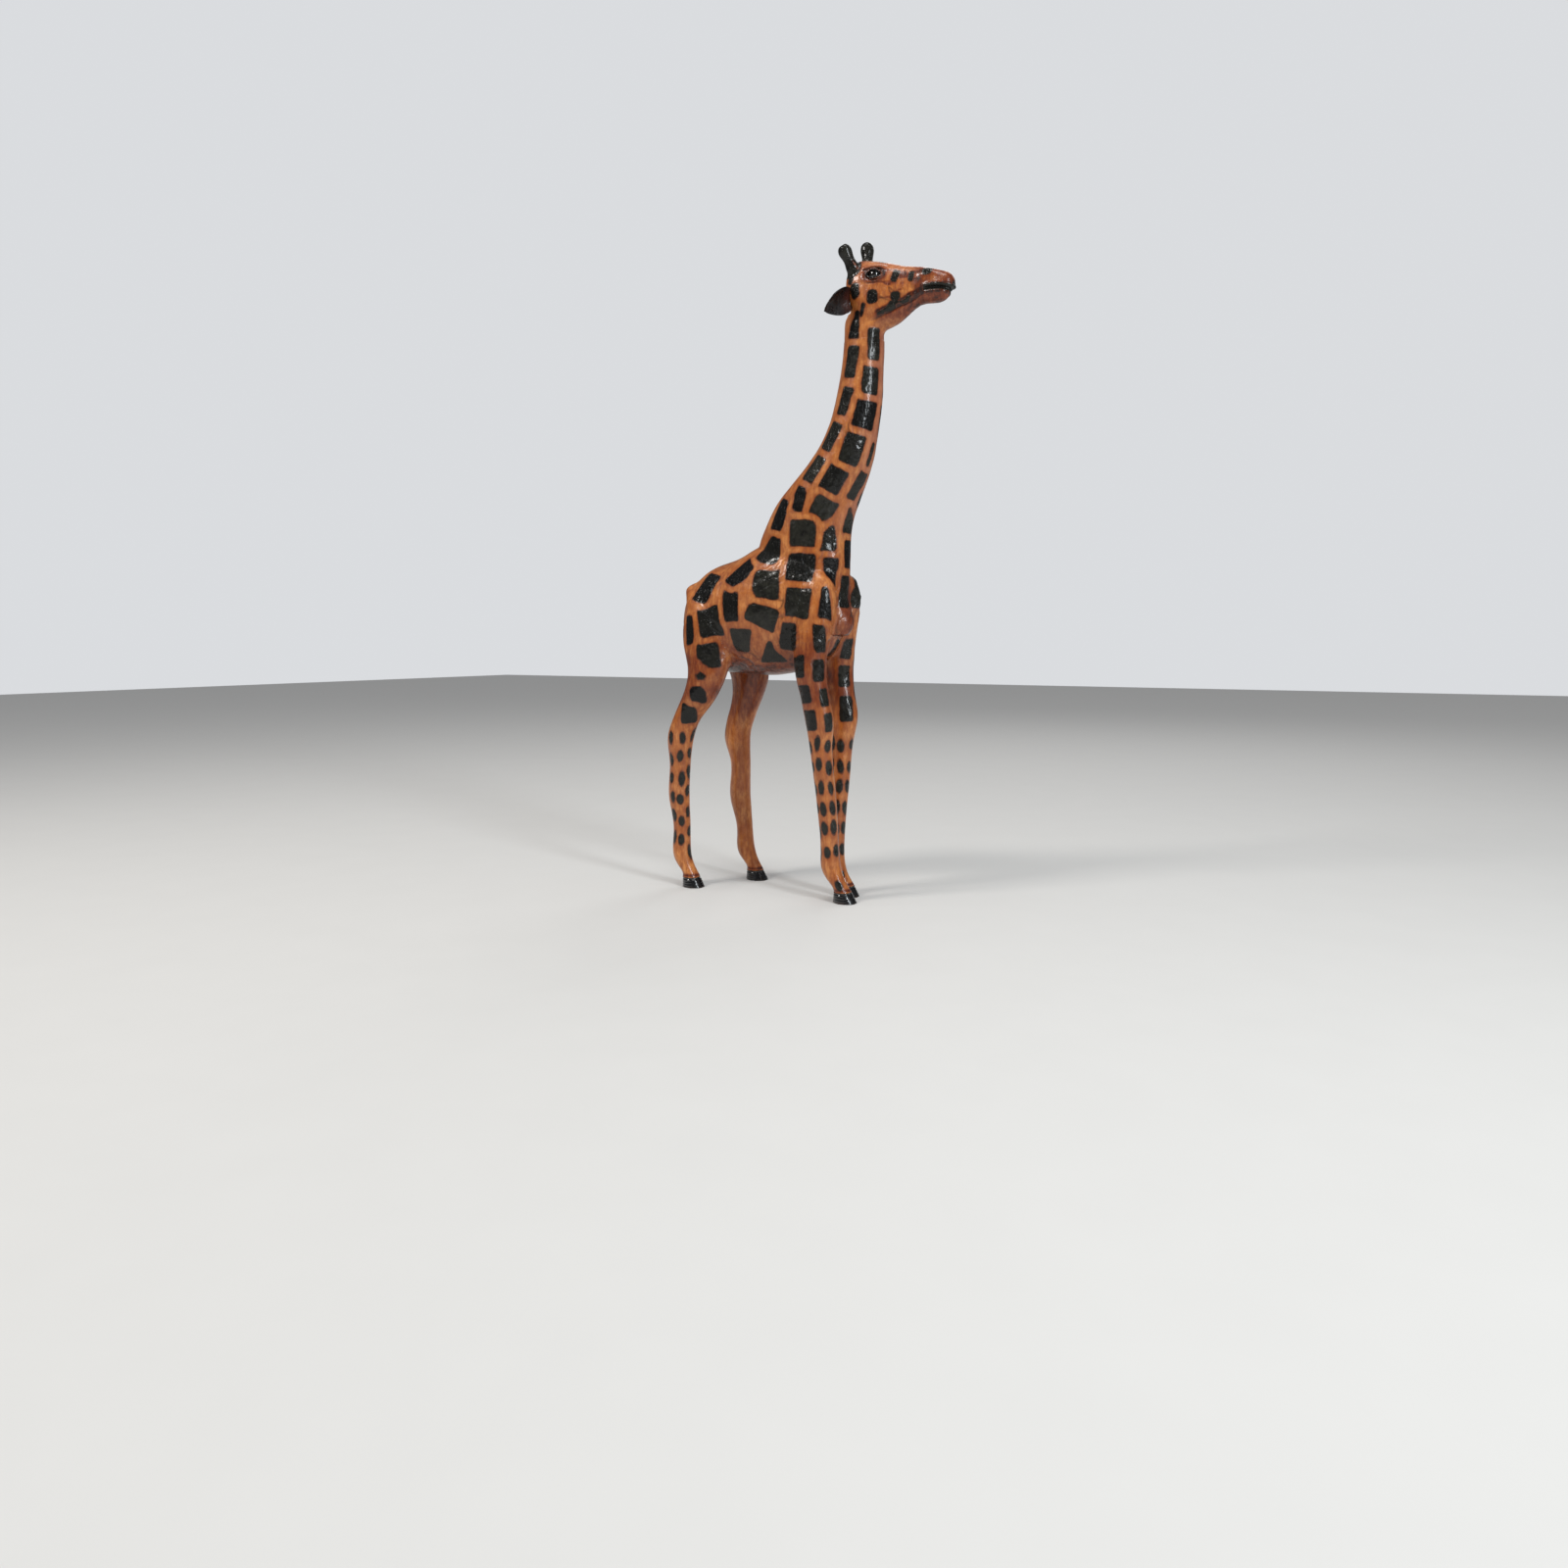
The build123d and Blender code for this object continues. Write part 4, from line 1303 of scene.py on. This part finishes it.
class Paint:
    """Turns the markings, the stains, and the painted shade and highlights into numbers on the skin."""

    def __init__(self, markings: Markings) -> None:
        """Keeps the markings."""
        self.markings = markings

    def layers(self, p: Points, n: Points, is_head: bool) -> dict[str, Points]:
        """All paint layers.

        Args:
            p: points in millimetres.
            n: their normals.
            is_head: whether this is the head's skin.

        Returns:
            spot: signed distance to black paint in millimetres; patch_sheen: painted olive sheen of a patch;
                stain_and_shade: dark red-brown stain, and painted shade on the belly, between the legs and under the
                    jaw; highlight_and_inner: painted pinkish highlight and glare on bare leather.
        """
        if is_head:
            spot, patch_sheen, stain_and_shade, highlight_and_inner = self.head(p, n)
        else:
            spot, patch_sheen, stain_and_shade, highlight_and_inner = self.body(p, n)
        spot = np.clip(spot + 0.35 * noise(p, 5, 81) + 0.2 * noise(p, 2.2, 82), -12, 12)
        return {"spot": spot, "patch_sheen": patch_sheen, "stain_and_shade": np.clip(stain_and_shade, 0, 1), "highlight_and_inner": np.clip(highlight_and_inner, 0, 1)}

    def small(self, p: Points, placed: list, reach: float) -> Points:
        """Distance to many small marks.

        Args:
            p: points in millimetres.
            placed: the marks with their places.
            reach: how far from its centre a mark counts.

        Returns:
            Millimetres, negative inside a mark.
        """
        out = np.full(len(p), Markings.most)
        for mark in placed:
            near = np.linalg.norm(p - mark[1], axis=1) < reach
            if near.any():
                out[near] = np.minimum(out[near], Markings.box(p[near], mark))
        return out

    def body(self, p: Points, n: Points) -> tuple[Points, Points, Points, Points]:
        """Paint on the neck, trunk and legs.

        Args:
            p: points in millimetres.
            n: normals at the points.

        Returns:
            The layers spot, patch_sheen, stain_and_shade and highlight_and_inner.
        """
        spot, patch_sheen = self.markings.square_distance(p)
        spot = np.minimum(spot, self.small(p, self.markings.ovals, 14))
        z = p[:, 2]
        # painted shade: the down-facing belly, the inner sides of the legs, between the hind legs and the forelegs, and
        # the leg tops under the trunk are darkened as if shaded
        belly = ramp(n[:, 2], -0.35, -0.85) * ramp(z, 330, 290) * ramp(z, 232, 250)
        inner_hind = ramp(np.abs(p[:, 1]), 40, 30) * ramp(p[:, 0], -40, -60) * ramp(z, 300, 250) * ramp(z, 180, 215)
        facing = n[:, 1] * np.sign(p[:, 1] + 1e-6)
        inside = ramp(facing, 0.15, -0.45) * ramp(z, 330, 285)
        breast = gauss(np.linalg.norm((p - np.array([54.0, 6.0, 326.0])) / np.array([1.0, 1.0, 1.9]), axis=1), 20)
        stain_and_shade = np.maximum.reduce([0.70 * belly, 0.45 * inner_hind, (0.06 + 0.34 * ramp(z, 190, 260)) * inside,
                                  0.62 * breast])
        stain_and_shade = np.maximum(stain_and_shade, 0.40 * ramp(z, 330, 262) * ramp(z, 190, 235))
        stain_and_shade += 0.18 * noise(p, 18, 91) + 0.10
        # painted highlight: pink glare on the front of the neck, along the nape and on the breast
        throat = ramp(n[:, 0], 0.72, 0.93) * ramp(z, 395, 430)
        nape = ramp(n[:, 0], -0.55, -0.85) * ramp(z, 380, 430)
        highlight_and_inner = 0.55 * throat + 0.4 * breast + 0.35 * nape + 0.12 * noise(p, 30, 92)
        collar = gauss(z - 14.5, 2.2)
        stain_and_shade = np.maximum(stain_and_shade, 0.8 * collar)
        return spot, patch_sheen, stain_and_shade, highlight_and_inner

    def head(self, p: Points, n: Points) -> tuple[Points, Points, Points, Points]:
        """Paint on the head, the horns and the top of the neck.

        Args:
            p: points in millimetres.
            n: normals at the points.

        Returns:
            The layers spot, patch_sheen, stain_and_shade and highlight_and_inner.
        """
        face = FaceSculpt()
        x, y, z = p[:, 0], np.abs(p[:, 1]), p[:, 2]
        q = np.stack([x, y, z], axis=1)
        spot = self.small(p, self.markings.face, 16)
        neck, patch_sheen = self.markings.square_distance(p)
        spot = np.minimum(spot, np.where(z < 648, neck, 12.0))
        around = np.hypot((x - face.eye[0]) / 1.55, z - face.eye[2]) - 5.4
        spot = np.minimum(spot, np.where(y > 9, around, 12.0))
        brow_z = face.eye[2] + 8.4 - 0.012 * (x - 84) ** 2
        brow = np.hypot(np.maximum(np.abs(x - 84) - 9, 0), z - brow_z + 1.5) - 1.0
        spot = np.minimum(spot, np.where(y > 8, brow + 0.9, 12.0))
        from_nostril = q - np.array(face.nostril) - np.array([0.3, 0, 0.6])
        nostril = np.linalg.norm(from_nostril / np.array([1.15, 1, 1]), axis=1)
        spot = np.minimum(spot, nostril - 4.6)
        line = face.mouth_line(x)
        band = np.maximum(np.abs(z - line - 0.9) - 2.1, 0)
        lips = np.hypot(np.maximum(face.mouth_corner + 1 - x, 0), band) - 0.8 + 0.5 * noise(q, 3, 97)
        spot = np.minimum(spot, lips)
        tip = np.linalg.norm(q - np.array([168.5, 0.0, 654.0]), axis=1) - 5.4
        spot = np.minimum(spot, tip)
        for tree_side in (1.0, -1.0):
            horn = self.horn_paint(p, tree_side)
            spot = np.minimum(spot, horn)
        crown = np.linalg.norm((q - np.array([93.0, 3.0, 691.0])) / np.array([2.0, 1.6, 1.0]), axis=1) - 2.2
        spot = np.minimum(spot, crown)
        jaw_line = 636.5 + (x - 95) * 0.387
        wavy = z - jaw_line + 1.6 * noise(q, 7, 96)
        jaw = ramp(np.abs(wavy), 6.5, 2.5) * ramp(x, 84, 93) * ramp(x, 150, 138)
        broken = 2.2 + 2.4 * noise(q, 8, 98) + 1.2 * noise(q, 3, 99) - 0.05 * np.abs(x - 100)
        blots = np.maximum(np.abs(wavy) - broken, np.maximum(90.5 - x, x - 131))
        spot = np.minimum(spot, np.where(y > 5, blots, 12.0))
        # below: painted shade on the head's underside under the jaw band; under: its down-facing part, which carries
        # painted glare
        below = ramp(wavy, -2.0, -5.0) * ramp(x, 78, 90)
        under = below * ramp(n[:, 2], -0.2, -0.7)
        mouth = inside = ramp(x, 126, 138) * ramp(np.abs(z - line), 10, 4)
        muzzle = 0.42 * ramp(x, 118, 140)
        socket = 0.75 * gauss(around - 1.5, 2.4) * (y > 9)
        streaks = 0.55 * ramp(noise(q * np.array([0.6, 1, 1.6]), 5, 95), 0.15, 0.6) * ramp(x, 84, 100)
        stain_and_shade = np.maximum.reduce([0.98 * jaw, 0.58 * below, 0.80 * mouth * inside, muzzle, socket, streaks])
        stain_and_shade += 0.16 * noise(p, 9, 93) + 0.10
        stain_and_shade = np.where(z < 640, np.maximum(stain_and_shade * ramp(x, 70, 84), 0.10), stain_and_shade)
        # painted highlight: pink glint in front of the eye, on the top of the head, glare under the jaw, and round the
        # eye
        highlight_and_inner = 0.55 * gauss(np.linalg.norm(q - np.array([101.0, 13.0, 677.0]), axis=1), 5.0)
        highlight_and_inner += 0.5 * ramp(n[:, 2], 0.55, 0.9) * ramp(z, 664, 672) + 0.55 * under
        highlight_and_inner += 0.5 * gauss(around - 3.4, 1.2) * (y > 9)
        _, _, neck_stain_and_shade, neck_highlight = self.body(p, n)
        up = ramp(z, 618, 638)
        return spot, patch_sheen, neck_stain_and_shade + (stain_and_shade - neck_stain_and_shade) * up, neck_highlight + (highlight_and_inner - neck_highlight) * up

    @staticmethod
    def horn_paint(p: Points, side: float) -> Points:
        """Distance to the horn's black paint, with a bare wedge left up its front.

        Args:
            p: points in millimetres.
            side: 1 for the left horn, -1 for the right one.

        Returns:
            Millimetres, negative inside the paint.
        """
        if side > 0:
            start, end = (65.5, 13.0, 684.0), (60.6, 21.0, 721.0)
        else:
            start, end = (61.5, -13.0, 682.0), (51.5, -22.0, 709.0)
        black = Stroke(start, end, 9.6, 10.5).distance(p)
        black = np.where(p[:, 1] * side > 1.0, black, 12.0)
        wedge_root = (start[0] + 7.0, start[1] + side * 5.0, 684.0)
        wedge_end = (end[0] + 6.5, end[1] + side, end[2] - 9)
        wedge = Stroke(wedge_root, wedge_end, 2.6, 0.1).distance(p)
        return np.maximum(black, -wedge)


# ------------------------------------------------------------------ trimmings
@dataclass
class Trimmings:
    """Ears, hooves and tail, each a sculpted copy of its node, and eyelids built as rolls round the eye."""

    nodes: dict[str, bpy.types.Object]

    def sculpted(self, node: str, voxel: float, rounds: int, shape: Callable[[Points, Points], tuple[Points, dict]],
                 finish: bpy.types.Material) -> bpy.types.Object:
        """Remeshes a copy of a node, sculpts it and dresses it.

        Args:
            node: the CAD node.
            voxel: voxel size in millimetres.
            rounds: how much it is smoothed.
            shape: gives the lift of each point and the layers to store.
            finish: its material.

        Returns:
            The finished piece.
        """
        obj = voxelled(merged_copy(node + "_finished", [self.nodes[node]]), voxel)
        mesh = obj.data
        p = fair(mesh_points(mesh), mesh_edges(mesh), rounds)
        set_points(mesh, p)
        n = mesh_normals(mesh)
        lift, layers = shape(p, n)
        p = p + n * lift[:, None]
        set_points(mesh, p)
        for name, values in layers.items():
            add_layer(mesh, name, values)
        mesh.materials.clear()
        mesh.materials.append(finish)
        smooth_shaded(obj)
        report(obj, [node])
        return obj

    def ear(self, side: str, finish: bpy.types.Material) -> None:
        """Cupped leather leaf, creased at its root and red-brown inside.

        Args:
            side: right or left.
            finish: the black leather.
        """

        def shape(p: Points, n: Points) -> tuple[Points, dict]:
            """Lift and layers of the ear."""
            lo, hi = p.min(0), p.max(0)
            out = (p[:, 1] - lo[1]) / (hi[1] - lo[1])
            if side == "right":
                out = 1 - out
            bent = p + 1.5 * np.stack([noise(p, 6, s) for s in (51, 52, 53)], axis=1)
            crease = ridged(bent * np.array([1, 0.4, 0.5]), 5.0, 54)
            lift = 0.45 * noise(p, 9, 55) - 0.35 * crease + 0.5 * ramp(out, 0.35, 0.05)
            facing = ramp(n[:, 0], 0.25, 0.75)
            highlight_and_inner = facing * gauss(out - 0.24, 0.17) * (0.7 + 0.3 * noise(p, 5, 56))
            return lift, {"highlight_and_inner": np.clip(highlight_and_inner, 0, 1)}

        self.sculpted(f"ear_{side}", 0.5, 4, shape, finish)

    def hoof(self, name: str, finish: bpy.types.Material) -> None:
        """Cloven hoof with rounded toes, growth rings and a rubbed rim.

        Args:
            name: the hoof's node.
            finish: the hoof lacquer.
        """

        def shape(p: Points, n: Points) -> tuple[Points, dict]:
            """Lift and layers of the hoof."""
            z = p[:, 2]
            rings = 0.10 * np.sin(z * 2.3 + 1.5 * noise(p, 9, 57)) * ramp(np.abs(n[:, 2]), 0.8, 0.4)
            lift = rings + 0.30 * noise(p, 8, 58) - 0.5 * gauss(z - 10.6, 0.9) * ramp(np.abs(n[:, 2]), 0.8, 0.4)
            lift = np.where(z < 0.9, np.minimum(lift, 0) * 0.3, lift)
            wear = gauss(z - 0.6, 1.1) * 0.8
            return lift, {"wear": wear}

        self.sculpted(name, 0.55, 3, shape, finish)

    def tail(self, cord: bpy.types.Material, tuft: bpy.types.Material) -> None:
        """Leather-wrapped tail with spiral turns, and a tuft of hanging strands.

        Args:
            cord: finish of the wrapped cord.
            tuft: finish of the tuft.
        """

        def wrap(p: Points, n: Points) -> tuple[Points, dict]:
            """Lift and layers of the wrapped cord."""
            turn = np.arctan2(n[:, 1], n[:, 0]) / (2 * math.pi)
            phase = (p[:, 2] / 5.2 + turn + 0.1 * noise(p, 12, 59)) % 1.0
            # painted shade: the spiral groove is darkened in the colour
            groove = gauss(phase - 0.5, 0.10)
            zeros = np.zeros(len(p))
            return 0.25 - 0.45 * groove, {"crease_shade": groove, "spot": zeros + 6, "patch_sheen": zeros, "stain_and_shade": zeros + 0.45,
                                          "highlight_and_inner": zeros}

        def strands(p: Points, n: Points) -> tuple[Points, dict]:
            """Lift and layers of the tuft."""
            middle = p.mean(0)
            angle = np.arctan2(p[:, 1] - middle[1], p[:, 0] - middle[0])
            lines = np.stack([np.cos(angle) * 6, np.sin(angle) * 6, p[:, 2] * 0.05], axis=1)
            return 1.3 * noise(lines, 1.4, 60) - 0.3, {"highlight_and_inner": np.zeros(len(p))}

        self.sculpted("tail_cord", 0.45, 3, wrap, cord)
        self.sculpted("tail_tuft", 0.45, 2, strands, tuft)

    def eyelid(self, side: str, finish: bpy.types.Material, face: FaceSculpt, surface: BVHTree) -> None:
        """Almond-shaped roll of leather round the bead.

        Args:
            side: right or left.
            finish: the leather material.
            face: gives the eye's place.
            surface: the head's hide, in millimetres.
        """
        sign = -1 if side == "right" else 1
        ring = []
        steps, around = 40, 12         # sections along the roll, and points round each
        for i in range(steps):
            a = 2 * math.pi * i / steps
            half_long, half_high = 8.4, (4.7 if math.sin(a) > 0 else 4.0)
            pinch = abs(math.cos(a)) ** 3
            x = face.eye[0] + half_long * math.cos(a)
            z = face.eye[2] + half_high * math.sin(a) * (1 - 0.35 * pinch) - 0.9 * math.cos(a)
            start = Vector((x, sign * 60, z))
            point, _, _, _ = surface.ray_cast(start, Vector((0, -sign, 0)))
            y = point.y if point is not None else sign * 18.0
            out = sign * (0.35 + 1.3 * (1 - abs(math.cos(a)) ** 2))
            ring.append(Vector((x, y + out, z)))
        bm = bmesh.new()
        sections = []
        for i, point in enumerate(ring):
            ahead = (ring[(i + 1) % steps] - ring[i - 1]).normalized()
            made = bmesh.ops.create_circle(bm, segments=around, radius=1.0)["verts"]
            a = 2 * math.pi * i / steps
            thick = 1.15 + 0.45 * max(math.sin(a), 0)
            outward = Vector((0, sign, 0))
            across = ahead.cross(outward).normalized()
            frame = Matrix((across, outward, ahead)).transposed().to_4x4()
            frame = Matrix.Translation(point) @ frame @ Matrix.Diagonal((thick, thick * 0.85, 1, 1))
            bmesh.ops.transform(bm, matrix=Matrix.Scale(MM, 4) @ frame, verts=made)
            sections.append(list(made))
        for i in range(steps):
            a, b = sections[i], sections[(i + 1) % steps]
            for k in range(around):
                after = (k + 1) % around
                bm.faces.new((a[k], a[after], b[after], b[k]))
        bmesh.ops.recalc_face_normals(bm, faces=bm.faces)
        mesh = bpy.data.meshes.new(f"eyelid_{side}_roll")
        bm.to_mesh(mesh)
        bm.free()
        obj = bpy.data.objects.new(mesh.name, mesh)
        bpy.context.scene.collection.objects.link(obj)
        p = mesh_points(mesh)
        zeros = np.zeros(len(p))
        inner = np.hypot((p[:, 0] - face.eye[0]) / 1.75, p[:, 2] - face.eye[2])
        add_layer(mesh, "spot", inner - 4.45)
        add_layer(mesh, "patch_sheen", zeros)
        add_layer(mesh, "crease_shade", zeros)
        add_layer(mesh, "stain_and_shade", zeros + 0.35 + 0.3 * ramp(p[:, 2], face.eye[2], face.eye[2] + 4))
        # painted highlight on the lower lid
        add_layer(mesh, "highlight_and_inner", ramp(p[:, 2], face.eye[2] - 1, face.eye[2] - 4))
        mesh.materials.append(finish)
        smooth_shaded(obj)
        smoothing = obj.modifiers.new("smooth", "SUBSURF")
        smoothing.levels = smoothing.render_levels = 2
        report(obj, [f"eyelid_{side}"])


# ------------------------------------------------------------------ studio
@dataclass(frozen=True)
class Softbox:
    """One large soft light, placed by where it stands round the statue."""

    name: str
    azimuth: float                 # degrees from the way the giraffe faces, towards its left
    elevation: float
    distance: float
    width: float
    height: float
    power: float
    colour: Colour = (1.0, 1.0, 1.0)

    def build(self, target: Vector) -> None:
        """Adds the light, aimed at the target.

        Args:
            target: the point that the light faces, in metres.
        """
        a, e = math.radians(self.azimuth), math.radians(self.elevation)
        away = Vector((math.cos(a) * math.cos(e), math.sin(a) * math.cos(e), math.sin(e)))
        light = bpy.data.lights.new(self.name, "AREA")
        light.shape = "RECTANGLE"
        light.size, light.size_y = self.width, self.height
        light.energy = self.power
        light.color = self.colour
        obj = bpy.data.objects.new(self.name, light)
        obj.location = target + away * self.distance
        obj.rotation_euler = (-away).to_track_quat("-Z", "Y").to_euler()
        bpy.context.scene.collection.objects.link(obj)


@dataclass(frozen=True)
class Studio:
    """Pale floor, soft lights and the camera."""

    lens: float = 25.875
    camera_mm: Place = (604.66, -1145.81, 295.93)
    heading: float = 29.0          # degrees that the view turns from straight along +Y towards -X
    pitch: float = 7.333           # degrees that the view looks down
    ambient: float = 0.50          # how strongly the room lights the statue
    mirrored: float = 0.22         # share of that seen in the lacquer
    backdrop: float = 0.74         # how pale the room looks

    def build(self) -> None:
        """Sets the floor, the lights, the surroundings and the camera."""
        scene = bpy.context.scene
        bm = bmesh.new()
        bmesh.ops.create_grid(bm, x_segments=2, y_segments=2, size=6.0)
        mesh = bpy.data.meshes.new("floor")
        bm.to_mesh(mesh)
        bm.free()
        floor = bpy.data.objects.new("floor", mesh)
        scene.collection.objects.link(floor)
        floor.location.z = -0.0002
        mesh.materials.append(PlainFloor().build())
        floor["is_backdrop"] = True
        target = Vector((0.0, 0.0, 0.38))
        for light in (
            Softbox("window", -24, 20, 2.2, 0.34, 1.2, 27, (0.90, 0.96, 1.0)),
            Softbox("side", -126, 42, 2.4, 0.5, 0.5, 26, (1.0, 0.97, 0.93)),
            Softbox("ceiling", -75, 78, 2.2, 0.8, 0.8, 13, (1.0, 0.99, 0.97)),
            Softbox("back", 95, 40, 2.6, 1.2, 1.2, 10),
        ):
            light.build(target)
        world = bpy.data.worlds.new("pale room")
        world.use_nodes = True
        background = world.node_tree.nodes["Background"]
        background.inputs[0].default_value = (0.95, 0.97, 1.0, 1.0)
        tree = world.node_tree
        seen = tree.nodes.new("ShaderNodeLightPath")
        level = tree.nodes.new("ShaderNodeMapRange")
        level.inputs["To Min"].default_value = self.ambient
        level.inputs["To Max"].default_value = self.backdrop
        tree.links.new(seen.outputs["Is Camera Ray"], level.inputs["Value"])
        dull = tree.nodes.new("ShaderNodeMapRange")
        dull.inputs["To Min"].default_value = 1.0
        dull.inputs["To Max"].default_value = self.mirrored
        tree.links.new(seen.outputs["Is Glossy Ray"], dull.inputs["Value"])
        both = tree.nodes.new("ShaderNodeMath")
        both.operation = "MULTIPLY"
        tree.links.new(level.outputs[0], both.inputs[0])
        tree.links.new(dull.outputs[0], both.inputs[1])
        tree.links.new(both.outputs[0], background.inputs[1])
        scene.world = world
        scene.view_settings.view_transform = "Standard"
        camera = bpy.data.cameras.new("camera")
        camera.lens = self.lens
        camera.sensor_width = 36.0
        camera.clip_end = 50.0
        obj = bpy.data.objects.new("camera", camera)
        obj.location = Vector(self.camera_mm) * MM
        obj.rotation_euler = (math.radians(90 - self.pitch), 0, math.radians(self.heading))
        scene.collection.objects.link(obj)
        scene.camera = obj


class Giraffe:
    """The whole statue, piece by piece."""

    sculpted_names = ("horn", "ear", "eyelid", "tail", "hoof_fore", "hoof_hind")

    def __init__(self, nodes: dict[str, bpy.types.Object]) -> None:
        """Keeps the frame's nodes."""
        self.nodes = nodes

    def build(self) -> None:
        """Builds and dresses every piece in order."""
        hide = PaintedHide().build()
        black = BlackLeather().build()
        skin = Skin(self.nodes)
        skin.build(hide)
        core = RawWood("carved softwood", (0.55, 0.36, 0.19), (0.36, 0.20, 0.09), 3.5).build()
        skin.carve_core(core)
        trim = Trimmings(self.nodes)
        face = FaceSculpt()
        head_surface = skin.bvh(["head_hide"])[0]
        for side in ("right", "left"):
            trim.ear(side, black)
            trim.eyelid(side, hide, face, head_surface)
        hoof = HoofLacquer().build()
        for leg in ("fore_right", "fore_left", "hind_right", "hind_left"):
            trim.hoof(f"hoof_{leg}", hoof)
        trim.tail(hide, black)
        self.dress_nodes(core)

    def dress_nodes(self, core: bpy.types.Material) -> None:
        """Gives the nodes that stay as they are their finishes.

        Args:
            core: the wood of the carved cores.
        """
        eye = GlassEye().build()
        dowel = RawWood("turned dowel", (0.62, 0.45, 0.26), (0.45, 0.29, 0.15), 1.6).build()
        for name, node in self.nodes.items():
            if "hide" in name or name == "head_core" or name.startswith(self.sculpted_names):
                continue
            finish = eye if name.startswith("eye_") else core if "core" in name else dowel
            node.data.materials.clear()
            node.data.materials.append(finish)
            if name.startswith("eye_"):
                smooth_shaded(node)
            LOG.info("%s keeps its CAD shape in %s", name, finish.name)


def main() -> dict:
    """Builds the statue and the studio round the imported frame.
    """
    logging.basicConfig(level=logging.INFO, format="%(message)s")
    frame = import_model()
    cad = [list(corner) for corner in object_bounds()]
    Giraffe(frame["nodes"]).build()
    Studio().build()
    bpy.context.view_layer.update()
    visual = [list(corner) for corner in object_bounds()]
    return {"cad": cad, "visual": visual}


if __name__ == "__main__":
    sizes = main()
